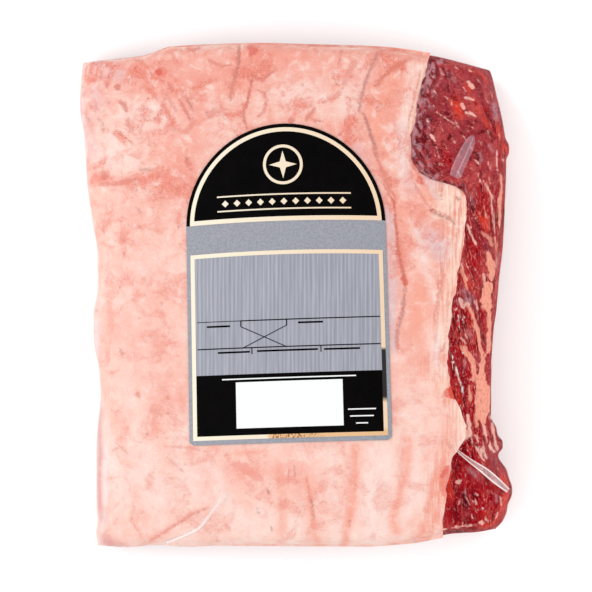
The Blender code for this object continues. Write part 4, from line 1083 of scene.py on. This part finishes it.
def beef_fat():
    """Raw beef fat, knife-trimmed: waxy, so light enters it and it has no hard shine of its own;
    cloudy pink blotches, paler lobules of a few millimetres, wisps of fine vessels, and the grain
    of the fibres at the cut edge."""
    material, tree = new_material("raw_beef_fat")
    place = add_node(tree, "TexCoord").outputs["Object"]
    brushed = add_node(tree, "Attribute", attribute_name="brushed")
    colour, strength = brushed.outputs["Color"], brushed.outputs["Alpha"]
    blotch = add_node(tree, "TexNoise", {
        "Vector": place, "Scale": 1 / BLOTCH, "Detail": 7.0, "Roughness": 0.56, "Distortion": 0.9})
    lobule = add_node(tree, "TexNoise", {
        "Vector": place, "Scale": 1 / LOBULE, "Detail": 6.0, "Roughness": 0.60, "Distortion": 0.5})
    grain = add_node(tree, "TexNoise", {
        "Vector": place, "Scale": 1 / MEAT_GRAIN, "Detail": 3.0, "Roughness": 0.6})
    lobular = add_node(tree, "MapRange", {0: strength, 1: 0.4, 2: 1.0, 3: 0.6, 4: 0.8},
                       interpolation_type="SMOOTHSTEP")
    veined = add_node(tree, "MapRange", {0: blotch, 1: 0.48, 2: 0.60, 3: 0.0, 4: 0.8},
                      interpolation_type="SMOOTHSTEP")
    veined = add_node(tree, "Math", {0: veined, 1: strength}, operation="MULTIPLY")
    colour = laid_over(tree, colour, blotch, 0.50, 0.67, 0.8, "CC7666", strength)
    colour = laid_over(tree, colour, lobule, 0.50, 0.72, 0.7, "D8C9C2", lobular)
    colour = laid_over(tree, colour, lobule, 0.50, 0.32, 0.55, "CC8072", strength)
    for size, width, tone in WISPS:
        vessel = add_node(tree, "TexNoise", {
            "Vector": place, "Scale": 1 / size, "Detail": 4.0, "Roughness": 0.62, "Distortion": 2.0})
        offset = add_node(tree, "Math", {0: vessel, 1: 0.5}, operation="SUBTRACT")
        offset = add_node(tree, "Math", {0: offset}, operation="ABSOLUTE")
        colour = laid_over(tree, colour, offset, width, 0.0, 1.0, tone, veined)
    fibrous = add_node(tree, "Attribute", attribute_name="fibrous").outputs["Fac"]
    drawn = add_node(tree, "Mapping", {
        "Vector": place, "Rotation": (0, 0, FIBRE_TURN), "Scale": (1.0, FIBRE_STRETCH, 1.0)})
    fibre = add_node(tree, "TexNoise", {"Vector": drawn, "Scale": 1 / CUT_FIBRE, "Detail": 3.0})
    colour = laid_over(tree, colour, fibre, 0.50, 0.38, 0.6, "C87868", fibrous)
    colour = laid_over(tree, colour, fibre, 0.53, 0.66, 0.6, "D8CCC1", fibrous)
    colour = with_marks(tree, colour, place, FAT_TEAR, 3.6, 0.75)
    colour = laid_over(tree, colour, grain, 0.49, 0.34, 0.17, "CC8474")
    colour = laid_over(tree, colour, grain, 0.54, 0.68, 0.17, "D8D1CC")
    height = add_node(tree, "Math", {0: grain, 1: 0.10, 2: lobule}, operation="MULTIPLY_ADD")
    surfaced(tree, colour, height, 0.6, 0.0004, {
        "Roughness": 0.5, "Specular IOR Level": 0.03, "Subsurface Weight": 0.12,
        "Subsurface Radius": (1.0, 0.45, 0.3), "Subsurface Scale": 0.002})
    return material


def beef_lean():
    """Raw beef muscle: wet bundles of red fibres drawn out along the loin, so the sides show
    strands and the cut ends show a close grain; threads of fat run between the bundles. Pale specks
    on the top are painted glints, where the wet film would catch the light."""
    material, tree = new_material("raw_beef_muscle")
    fibres = add_node(tree, "Attribute", attribute_name="fibres").outputs["Vector"]
    brushed = add_node(tree, "Attribute", attribute_name="brushed")
    colour, strength = brushed.outputs["Color"], brushed.outputs["Alpha"]
    painted_glint = add_node(tree, "Attribute", attribute_name="painted_glint").outputs["Fac"]
    bundle = add_node(tree, "TexNoise", {
        "Vector": fibres, "Scale": 1 / BUNDLE, "Detail": 7.0, "Roughness": 0.62, "Distortion": 0.5})
    thread = add_node(tree, "TexNoise", {
        "Vector": fibres, "Scale": 1 / FAT_THREAD, "Detail": 5.0, "Roughness": 0.62, "Distortion": 1.4})
    grain = add_node(tree, "TexNoise", {
        "Vector": fibres, "Scale": 1 / MEAT_GRAIN, "Detail": 3.0, "Roughness": 0.65})
    painted_glint_noise = add_node(tree, "TexNoise", {
        "Vector": fibres, "Scale": 1 / PAINTED_GLINT_SPECK, "Detail": 2.0, "Roughness": 0.6, "Distortion": 1.5})
    colour = laid_over(tree, colour, bundle, 0.49, 0.35, 0.85, "52030C")
    colour = laid_over(tree, colour, bundle, 0.53, 0.69, 0.75, "B7443D", strength)
    colour = laid_over(tree, colour, thread, 0.60, 0.68, 0.85, "D8A498", strength)
    colour = with_marks(tree, colour, fibres, LEAN_TEAR, 2.6, 0.25)
    depth = add_node(tree, "MapRange", {0: strength, 1: 0.5, 2: 1.0, 3: 0.22, 4: 0.42},
                     interpolation_type="SMOOTHSTEP")
    colour = laid_over(tree, colour, grain, 0.49, 0.34, depth, "3A0208")
    colour = laid_over(tree, colour, grain, 0.54, 0.68, depth, "D89084")
    # Painted glints: pale specks where the wet film would catch the light
    colour = laid_over(tree, colour, painted_glint_noise, 0.67, 0.73, 1.0, "D8C3BC", painted_glint)
    surfaced(tree, colour, bundle, 0.7, 0.0006, {
        "Roughness": 0.5, "Specular IOR Level": 0.0, "Subsurface Weight": 0.06,
        "Subsurface Radius": (1.0, 0.25, 0.2), "Subsurface Scale": 0.0015})
    return material


def barrier_film(name, tint):
    """Clear polyamide-polyethylene film, blown and shrunk: seen only by its shine and the fine
    crinkles that catch the light, and milky where it lies folded with air between its layers."""
    material, tree = new_material(name)
    place = add_node(tree, "TexCoord").outputs["Object"]
    milk, crinkled = (add_node(tree, "Attribute", attribute_name=layer).outputs["Fac"]
                      for layer in ("milk", "crinkle"))
    crinkle = add_node(tree, "TexNoise", {
        "Vector": place, "Scale": 1 / CRINKLE, "Detail": 3.0, "Roughness": 0.6, "Distortion": 1.2})
    bump = add_node(tree, "Bump", {"Strength": crinkled, "Distance": 0.0007, "Height": crinkle})
    edge = add_node(tree, "Fresnel", {"IOR": 1.3, "Normal": bump})
    edge = add_node(tree, "MapRange", {0: edge, 1: 0.017, 2: 0.5, 3: 0.0015, 4: 0.08})
    gloss = add_node(tree, "BsdfGlossy", {"Roughness": 0.08, "Normal": bump})
    clear = add_node(tree, "BsdfTransparent")
    haze = add_node(tree, "BsdfDiffuse", {"Color": linear(tint)})
    body = add_node(tree, "MixShader", {0: milk, 1: clear, 2: haze})
    film = add_node(tree, "MixShader", {0: edge, 1: body, 2: gloss})
    add_node(tree, "OutputMaterial", {"Surface": film})
    return material


def silver_paper(striped):
    """Metallised label paper, calendered: soft satin silver, printed with fine upright stripes."""
    material, tree = new_material("metallised_paper" + ("_striped" if striped else ""))
    place = add_node(tree, "TexCoord").outputs["Object"]
    grain = add_node(tree, "TexNoise", {
        "Vector": place, "Scale": 1 / PAPER_GRAIN, "Detail": 3.0, "Roughness": 0.6})
    if striped:
        drawn = add_node(tree, "Mapping", {
            "Vector": place, "Rotation": (0, 0, -SIDE_TURN), "Scale": (1.0, 0.02, 1.0)})
        bands = add_node(tree, "TexWave", {
            "Vector": drawn, "Scale": math.pi / 10 / STRIPE, "Distortion": 1.0, "Detail": 2.0},
            wave_profile="SIN").outputs[1]
        fine = add_node(tree, "TexNoise", {
            "Vector": drawn, "Scale": 1 / STRIPE_GRAIN, "Detail": 2.0, "Roughness": 0.7})
        line = add_node(tree, "Math", {0: bands, 1: 0.22, 2: fine}, operation="MULTIPLY_ADD")
        colour = laid_over(tree, linear("7B7D86"), line, 0.38, 0.90, 1.0, "9596A1")
    else:
        colour = laid_over(tree, linear("7A7C84"), grain, 0.35, 0.65, 1.0, "898A93")
    surfaced(tree, colour, grain, 0.15, 0.00005, {"Metallic": 0.3, "Roughness": 0.5})
    return material


def black_print():
    """Gloss black flexo print: deep black with a faint cloud of dust and rub."""
    material, tree = new_material("gloss_black_print")
    place = add_node(tree, "TexCoord").outputs["Object"]
    rub = add_node(tree, "TexNoise", {"Vector": place, "Scale": 1 / RUB, "Detail": 6.0})
    colour = add_node(tree, "Mix", {0: rub, 6: linear("010101"), 7: linear("080606")},
                      data_type="RGBA").outputs[2]
    rough = add_node(tree, "MapRange", {0: rub, 3: 0.22, 4: 0.36})
    ink = add_node(tree, "BsdfPrincipled", {
        "Base Color": colour, "Roughness": rough, "Specular IOR Level": 0.02})
    add_node(tree, "OutputMaterial", {"Surface": ink})
    return material


def gold_foil():
    """Pale gold hot-stamped foil on paper, with painted reflections: bright, deeper towards the right,
    deeper and speckled along the foot of the frame, and dark down a stretch of its right side."""
    material, tree = new_material("pale_gold_foil")
    place = add_node(tree, "TexCoord").outputs["Object"]
    grain = add_node(tree, "TexNoise", {"Vector": place, "Scale": 1 / FOIL_GRAIN, "Detail": 3.0})
    speckles = add_node(tree, "TexNoise", {"Vector": place, "Scale": 1 / FOIL_SPECKLE, "Detail": 2.0})
    across, up, _ = add_node(tree, "SeparateXYZ", {0: place}).outputs
    colour, foot = linear("D1C8B5"), ((up, -0.0640, -0.0665), (across, -0.0135, -0.0120))
    # The tints are painted reflections: warmer to the right, bronze and speckled along part of the foot,
    # near black down a stretch of the right side
    for tint, spans in (          # each where it lies past the start of all its spans
            ("D3B89B", ((across, -0.040, 0.045),)),
            ("C9A278", foot),
            ("87592E", (*foot, (across, 0.0160, 0.0060), (speckles, 0.50, 0.56))),
            ("0C0707", ((across, 0.0405, 0.0410), (up, -0.0250, -0.0265), (up, -0.0525, -0.0495)))):
        share = 1.0
        for value, start, full in spans:
            step = add_node(tree, "MapRange", {0: value, 1: start, 2: full})
            share = add_node(tree, "Math", {0: step, 1: share}, operation="MULTIPLY")
        colour = add_node(tree, "Mix", {0: share, 6: colour, 7: linear(tint)},
                          data_type="RGBA").outputs[2]
    surfaced(tree, colour, grain, 0.3, 0.00004, {"Metallic": 0.35, "Roughness": 0.4})
    return material


def white_paper():
    """Bare coated label paper: white and matte, for writing on."""
    material, tree = new_material("white_label_paper")
    place = add_node(tree, "TexCoord").outputs["Object"]
    fibre = add_node(tree, "TexNoise", {"Vector": place, "Scale": 1 / PAPER_FIBRE, "Detail": 4.0})
    colour = add_node(tree, "Mix", {0: fibre, 6: linear("D4D5D5"), 7: linear("CFD0D0")},
                      data_type="RGBA").outputs[2]
    surfaced(tree, colour, fibre, 0.2, 0.00003, {"Roughness": 0.75})
    return material


# The label. A place on it is (across, up) from the middle of the line that the arch springs from.

LABEL_HALF = LABEL_WIDTH / 2
PAPER, INK = 0.00022, 0.00004        # thicknesses
PAPER_LIFT = 0.00005                 # the sheet lies this far off the film
PRINT_LIFT, BAND_LIFT = PAPER + 0.00006, PAPER + 0.00007
FOIL_LIFT, FORM_LIFT, TOP_LIFT = (PAPER + INK + gap for gap in (0.00008, 0.00009, 0.00010))
BODY_ROWS = 0.62                     # share of the sheet's rows that lie below the arch
ARCH_END = 0.985 * math.pi / 2       # the arch is closed a little short of its top
RIM, LINE = 0.0018, 0.0020           # black rim, gold line
BASE_LINE = (0.0009, 0.0031)         # gold line along the foot of the arch
FRAME = (-0.0473, 0.0473, -0.1062, -0.0136)          # outside of the gold frame: left, right, low, high
FRAME_LINE = 0.0020
STRIPE = 0.0020                      # the field's stripes, drawn as coarse as they need to show
BAND_TOP = -0.0741
WINDOW = (-0.0260, 0.0260, -0.1008, -0.0780)
RULES = (-0.0477, -0.0611)
TAB = (-0.0230, -0.0006, -0.0506)
CROSS = (-0.0221, -0.0010)
MESH_STEP = 0.0035
PAPER_ROWS, ARCH_ROWS, BOW_ROWS = 0.45, 0.12, 0.26   # lengths that give round edges enough mesh lines
FOOT_INSET = 0.0010


def on_label(across, up):
    """Place in plan: the sheet lies bent over the meat, so its rows sag and its left side flares."""
    left = np.clip(0.5 - across / LABEL_WIDTH, 0, 1) * np.minimum(up, 0)
    x = LABEL_CENTRE[0] + across - up * math.sin(SIDE_TURN) + LEFT_FLARE * left
    arched = smooth((up + 0.050) / 0.035)
    turn = math.sin(ROW_TURN) + ROW_FLATTER * arched
    return x, LABEL_CENTRE[1] + up + across * turn - across**2 * (ROW_BEND[0] + ROW_BEND[1] * arched)


def label_layer(name, draw, size, thickness, lift, material):
    """A thin layer of the label: draw(u, v) gives its place on the label, and it lies on the pack."""
    columns, rows = (np.linspace(0, 1, max(2, round(side / MESH_STEP) + 1)) for side in size)

    def press(u, v, upper):
        x, y = on_label(*draw(u, v))
        return np.stack([x, y, top_height(x, y, True) + lift + thickness * upper], axis=-1)

    return finished(pressed_slab(name, columns, rows, press), material, "label", 40)


def joined(name, layers):
    """Several strokes of one print as one piece."""
    deselect_all()
    for layer in layers:
        layer.select_set(True)
    bpy.context.view_layer.objects.active = layers[0]
    if len(layers) > 1:
        bpy.ops.object.join()
    layers[0].name = layers[0].data.name = name
    return layers[0]


def arch_half(up, inset=0.0):
    """Half the width of the arch this far up, inside a rim."""
    share = np.clip(np.asarray(up) / (LABEL_ARCH - inset), 0, 1)
    return (LABEL_HALF - inset) * np.sqrt(1 - share**2)


def label_paper():
    """The silver sheet under all the print, with rounded lower corners."""
    def draw(u, v):
        angle = np.clip((v - BODY_ROWS) / (1 - BODY_ROWS), 0, 1) * ARCH_END
        up = np.where(v < BODY_ROWS, -LABEL_BODY * (1 - v / BODY_ROWS), LABEL_ARCH * np.sin(angle))
        corner = np.clip((LABEL_CORNER - LABEL_BODY - up) / LABEL_CORNER, 0, 1)
        half = np.where(v < BODY_ROWS, LABEL_HALF - LABEL_CORNER * (1 - np.sqrt(1 - corner**2)),
                        LABEL_HALF * np.cos(angle))
        return (2 * u - 1) * half, up
    return label_layer("label_paper", draw, (LABEL_WIDTH, PAPER_ROWS), PAPER, PAPER_LIFT,
                       silver_paper(False))


def black_arch():
    def draw(u, v):
        angle = v * ARCH_END
        up = BASE_LINE[0] + (LABEL_ARCH - BASE_LINE[0]) * np.sin(angle)
        return (2 * u - 1) * arch_half(up), up
    return label_layer("label_arch_black", draw, (LABEL_WIDTH, ARCH_ROWS), INK, PRINT_LIFT,
                       black_print())


def gold_arch(foil):
    """Gold line inside the arch's rim, closed along its foot."""
    inner, outer = RIM + LINE, RIM

    def bow(u, v):
        first = math.asin(BASE_LINE[0] / LABEL_ARCH)
        angle = first + u * (math.pi - 2 * first)
        inset = inner + v * (outer - inner)
        return -(LABEL_HALF - inset) * np.cos(angle), (LABEL_ARCH - inset) * np.sin(angle)

    def foot(u, v):
        low, high = BASE_LINE
        return (2 * u - 1) * (LABEL_HALF - RIM - FOOT_INSET), low + v * (high - low)
    strokes = [label_layer("bow", bow, (BOW_ROWS, LINE), INK, FOIL_LIFT, foil),
               label_layer("foot", foot, (LABEL_WIDTH, LINE), INK, TOP_LIFT, foil)]
    return joined("label_arch_gold", strokes)


def plate(box):
    """draw() for a rectangle: left, right, low, high."""
    left, right, low, high = box
    return lambda u, v: (left + u * (right - left), low + v * (high - low))


def bar(start, end, width):
    """draw() for a straight stroke."""
    (ax, ay), (bx, by) = start, end
    long = math.hypot(bx - ax, by - ay)
    nx, ny = -(by - ay) / long, (bx - ax) / long
    return lambda u, v: (ax + u * (bx - ax) + (v - 0.5) * width * nx,
                         ay + u * (by - ay) + (v - 0.5) * width * ny)


def layer_of_bars(name, strokes, lift, material):
    """One piece from straight strokes: (start, end, width)."""
    made = []
    for n, (start, end, width) in enumerate(strokes):
        size = (math.dist(start, end), width)
        made.append(label_layer(f"stroke_{n}", bar(start, end, width), size, INK, lift, material))
    return joined(name, made)


def gold_frame(foil):
    left, right, low, high = FRAME
    half = FRAME_LINE / 2
    corners = [(left + half, low + half), (right - half, low + half), (right - half, high - half),
               (left + half, high - half)]
    strokes = []
    for n, (ax, ay) in enumerate(corners):
        bx, by = corners[(n + 1) % 4]
        reach = half if n % 2 == 0 else -half         # upright strokes fit between the level ones
        dx, dy = np.sign(bx - ax) * reach, np.sign(by - ay) * reach
        strokes.append(((ax - dx, ay - dy), (bx + dx, by + dy), FRAME_LINE))
    return layer_of_bars("label_frame_gold", strokes, TOP_LIFT, foil)


def striped_field():
    left, right, low, high = FRAME
    box = (left + FRAME_LINE / 2, right - FRAME_LINE / 2, BAND_TOP, high - FRAME_LINE / 2)
    return label_layer("label_field_striped", plate(box), (box[1] - box[0], box[3] - box[2]), INK,
                       PRINT_LIFT, silver_paper(True))


def black_band(ink):
    left, right, low, high = FRAME
    box = (left + FRAME_LINE / 2, right - FRAME_LINE / 2, low + FRAME_LINE / 2, BAND_TOP)
    return label_layer("label_band_black", plate(box), (box[1] - box[0], box[3] - box[2]), INK,
                       BAND_LIFT, ink)


def white_window(paper):
    size = (WINDOW[1] - WINDOW[0], WINDOW[3] - WINDOW[2])
    return label_layer("label_window_white", plate(WINDOW), size, INK, TOP_LIFT, paper)


def form_lines(ink):
    """Ruled lines of the form: two rules, a tab, a cross and two ticks."""
    left, right = FRAME[0] + FRAME_LINE + 0.0008, FRAME[1] - FRAME_LINE - 0.0004
    thin, bold = 0.00035, 0.00055
    tab_left, tab_right, tab_low = TAB
    strokes = [((left, RULES[0]), (tab_left, RULES[0]), thin),
               ((tab_left, RULES[0]), (right, RULES[0]), bold),
               ((left, RULES[1]), (right, RULES[1]), bold),
               ((tab_left, RULES[0]), (tab_left, tab_low), bold),
               ((tab_right, RULES[0]), (tab_right, tab_low), bold),
               ((tab_left, tab_low), (CROSS[1], RULES[1]), 0.00042),
               ((tab_right, tab_low), (CROSS[0], RULES[1]), 0.00042),
               ((-0.0178, RULES[1]), (-0.0178, RULES[1] - 0.0032), 0.0005),
               ((0.0159, RULES[1]), (0.0159, RULES[1] - 0.0032), 0.0005)]
    return layer_of_bars("label_form_lines", strokes, FORM_LIFT, ink)


def blank_bars(name, rows, height, material, lift):
    """Plain bars that mark the form's fields and notes: (left, right, up), in millimetres."""
    strokes = [((left * MM, up * MM), (right * MM, up * MM), height) for left, right, up in rows]
    return layer_of_bars(name, strokes, lift, material)


# The emblem: a plain ring with a star, and a border of lozenges below it.

EMBLEM = (-0.0005, 0.0286)           # middle of the ring
RING, RING_WIDTH, STAR, STAR_WAIST = 0.0098, 0.0014, 0.0068, 0.0021
BORDER = (-0.0335, 0.0325, 0.0105)   # left, right, height of its middle
BORDER_MARGIN = 0.004                # from its ends to the outer lozenges
BORDER_HALF, BORDER_RULE, LOZENGE, LOZENGES = 0.0036, 0.0007, 0.0017, 11


def cut_shape(name, sides, radius, middle, reshape=None, ring=0.0):
    """A flat shape of the foil, cut from a many-sided disc, as a ring or with its points moved."""
    deselect_all()
    bpy.ops.mesh.primitive_circle_add(vertices=sides, radius=radius, fill_type="NGON",
                                      location=(*middle, 0))
    bpy.ops.object.transform_apply()
    shape = bpy.context.object
    shape.name = name
    if reshape:
        across, up, _ = places_of(shape).T
        across, up = reshape(across - middle[0], up - middle[1])
        set_places(shape, np.stack([across + middle[0], up + middle[1], 0 * up], axis=-1))
    bpy.ops.object.mode_set(mode="EDIT")
    bpy.ops.mesh.select_all(action="SELECT")
    if ring:
        bpy.ops.mesh.inset(thickness=ring)
        bpy.ops.mesh.delete(type="FACE")
        bpy.ops.mesh.select_all(action="SELECT")
    bpy.ops.mesh.extrude_region_move(TRANSFORM_OT_translate={"value": (0, 0, INK)})
    bpy.ops.mesh.select_all(action="SELECT")
    bpy.ops.mesh.normals_make_consistent(inside=False)
    bpy.ops.object.mode_set(mode="OBJECT")
    across, up, high = places_of(shape).T
    x, y = on_label(across, up)
    set_places(shape, np.stack([x, y, top_height(x, y, True) + FOIL_LIFT + high], axis=-1))
    return shape


def emblem(foil):
    def star(across, up):
        turn = np.arctan2(up, across)
        reach = np.where(np.abs(np.sin(2 * turn)) > 0.5, STAR_WAIST, STAR)
        return reach * np.cos(turn), reach * np.sin(turn)

    cut = [cut_shape("ring", 64, RING, EMBLEM, ring=RING_WIDTH),
           cut_shape("star", 8, STAR, EMBLEM, star)]
    left, right, up = BORDER
    for place in np.linspace(left + BORDER_MARGIN, right - BORDER_MARGIN, LOZENGES):
        cut.append(cut_shape("lozenge", 4, LOZENGE, (place, up)))
    drawn = joined("label_emblem_gold", cut)
    finished(drawn, foil, "label", 40)
    rules = [((left, up + side), (right, up + side), BORDER_RULE) for side in (BORDER_HALF, -BORDER_HALF)]
    return joined("label_emblem_gold",
                  [drawn, layer_of_bars("rules", rules, FOIL_LIFT, foil)])


# Folds and a pocket in the film.

FOLD_LIFT, FOLD_FILM = 0.00006, 0.00008       # off the film below, and its own least thickness
FOLD_STEP, FOLD_ROWS = 0.0006, 17


def film_under(bag, x, y):
    """Height of the finished film under each place in plan."""
    shift = Vector(RECENTRED)
    heights = []
    for a, b in zip(x, y):
        hit, where, _, _ = bag.ray_cast(Vector((a, b, 1)) + shift, Vector((0, 0, -1)))
        heights.append(where.z if hit else np.nan)
    heights = np.array(heights)
    return np.where(np.isnan(heights), np.nanmin(heights), heights)


def film_fold(name, bag, places, widths, rise, profile, milk, film):
    """A fold of the film along a line of millimetres: widths along it, height and milk across it."""
    path = np.array(path_of(places))
    length = np.concatenate([[0], np.cumsum(np.hypot(*np.diff(path, axis=0).T))])
    columns = np.linspace(0, 1, max(8, round(length[-1] / FOLD_STEP)))
    rows = np.linspace(0, 1, FOLD_ROWS)
    across, along = (list(zip(length / length[-1], path[:, n])) for n in (0, 1))
    shares = []

    def press(u, v, upper):
        near = 0.02
        dx = through(across, u + near) - through(across, u - near)
        dy = through(along, u + near) - through(along, u - near)
        long = np.maximum(np.hypot(dx, dy), 1e-9)
        wide = through(widths, u) * MM
        x = through(across, u) - dy / long * (v - 0.5) * wide
        y = through(along, u) + dx / long * (v - 0.5) * wide
        ends = smooth(u / 0.04) * smooth((1 - u) / 0.04)
        shares.extend(milk(u, v))
        z = film_under(bag, x, y) + FOLD_LIFT
        return np.stack([x, y, z + np.where(upper, FOLD_FILM + rise * ends * profile(v), 0)], axis=-1)

    fold = pressed_slab(name, columns, rows, press)
    set_attribute(fold, "milk", shares)
    set_attribute(fold, "crinkle", np.full(len(shares), 0.2))
    return finished(fold, film, "vacuum_pack")


def tent(v):
    return np.sin(math.pi * v) ** 1.5


def two_rims(v):
    return 0.10 + np.exp(-(((v - 0.10) / 0.10) ** 2)) + 0.8 * np.exp(-(((v - 0.90) / 0.10) ** 2))


def ridged(v):
    return 0.25 + 0.8 * np.exp(-(((v - 0.62) / 0.05) ** 2)) + 0.4 * np.exp(-(((v - 0.06) / 0.05) ** 2))


# The studio.

CAMERA_HEIGHT, SENSOR = 2.5, 36.0
VIEW_WIDTH = 0.296                   # metres across the picture at the pack's widest outline
OUTLINE_HEIGHT = 0.020
CAMERA_PLACE = (0.00071, -0.0001)
FLOOR_SIZE, FLOOR_DROP = 6.0, 0.0002
SIDE_LIGHT, LEFT_POWER, RIGHT_POWER = (1.0, 1.5), 9.5, 11.0
KEY_SIZE, KEY_POWER = 0.30, 5.0
SKY = 1.05


def studio():
    deselect_all()
    bpy.ops.mesh.primitive_grid_add(x_subdivisions=2, y_subdivisions=2, size=FLOOR_SIZE, location=(0, 0, 0))
    floor = bpy.context.object
    floor.name = "studio_floor"
    floor.location.z = -FLOOR_DROP
    bpy.ops.object.transform_apply()
    material, tree = new_material("white_studio_floor")
    board = add_node(tree, "BsdfPrincipled", {
        "Base Color": (0.97, 0.97, 0.97, 1), "Roughness": 0.8, "Specular IOR Level": 0.1})
    add_node(tree, "OutputMaterial", {"Surface": board})
    floor.data.materials.append(material)
    for name, place, size, power in (
            ("left_softbox", (-1.30, -0.25, 0.80), SIDE_LIGHT, LEFT_POWER),
            ("right_softbox", (1.30, -0.35, 0.80), SIDE_LIGHT, RIGHT_POWER),
            ("key_softbox", (-0.75, 1.05, 1.15), (KEY_SIZE, KEY_SIZE), KEY_POWER)):
        lamp = bpy.data.lights.new(name, "AREA")
        lamp.shape, lamp.size, lamp.size_y, lamp.energy = "RECTANGLE", *size, power
        stand = bpy.data.objects.new(name, lamp)
        stand.location = place
        stand.rotation_euler = Vector(place).to_track_quat("Z", "Y").to_euler()
        bpy.context.scene.collection.objects.link(stand)
    world = bpy.data.worlds.new("studio_air")
    world.use_nodes = True
    world.node_tree.nodes["Background"].inputs["Color"].default_value = (SKY, SKY, SKY, 1)
    bpy.context.scene.world = world
    bpy.context.scene.view_settings.view_transform = "Standard"


def camera():
    lens = bpy.data.cameras.new("overhead_camera")
    lens.sensor_width = SENSOR
    lens.lens = SENSOR * (CAMERA_HEIGHT - OUTLINE_HEIGHT) / VIEW_WIDTH
    lens.clip_start, lens.clip_end = 0.1, 50.0
    stand = bpy.data.objects.new("overhead_camera", lens)
    stand.location = (*CAMERA_PLACE, CAMERA_HEIGHT)
    bpy.context.scene.collection.objects.link(stand)
    bpy.context.scene.camera = stand


def dress():
    fat_cap()
    lean_muscle()
    film = barrier_film("folded_barrier_film", "F6E6E4")
    bag = film_bag(barrier_film("clear_barrier_film", "E6DCDF"))
    film_fold("film_ridge", bag, (-65.2, -122.7, -55.7, -118.9, -48.7, -115.3, -44.3, -110.3,
                                  -38.6, -102.8, -34.3, -97.4),
              ((0, 1.6), (0.5, 2.4), (0.8, 3.0), (1, 3.6)), 0.0004, tent,
              lambda u, v: (0.62 - 0.48 * u) * tent(v), film)
    film_fold("film_crease", bag, (75.5, -73.0, 84.4, -80.3, 92.7, -86.2, 98.6, -91.1, 105.0, -96.5),
              ((0, 0.4), (0.35, 2.2), (0.7, 3.8), (1, 2.4)), 0.0005, two_rims,
              lambda u, v: 0.05 + 0.62 * two_rims(v), film)
    film_fold("film_pocket", bag, (87.0, 79.0, 83.7, 72.0, 80.2, 64.5, 77.6, 58.5),
              ((0, 0.8), (0.12, 4.6), (0.45, 6.0), (0.85, 6.2), (1, 4.8)), 0.0003, ridged,
              lambda u, v: 0.06 + 0.26 * ridged(v), barrier_film("lilac_barrier_film", "DCB0BC"))
    ink, foil = black_print(), gold_foil()
    label_paper()
    black_arch()
    gold_arch(foil)
    striped_field()
    black_band(ink)
    gold_frame(foil)
    white_window(white_paper())
    form_lines(ink)
    blank_bars("label_fields_bars", ((-39.7, -28.3, -50.1), (5, 17.2, -49.5), (-34.5, -18.8, -63.1),
                                     (-15.3, 14.4, -62.9), (17.4, 34.9, -63.0)), 0.0009, ink,
               FORM_LIFT)
    blank_bars("label_notes_bars", ((-32.7, 32.6, -76.4), (28.3, 41.8, -92.9), (29.2, 40.7, -96.3),
                                    (32.0, 37.8, -99.8)), 0.0006, white_paper(),
               TOP_LIFT)
    emblem(foil)


dress()
studio()
camera()
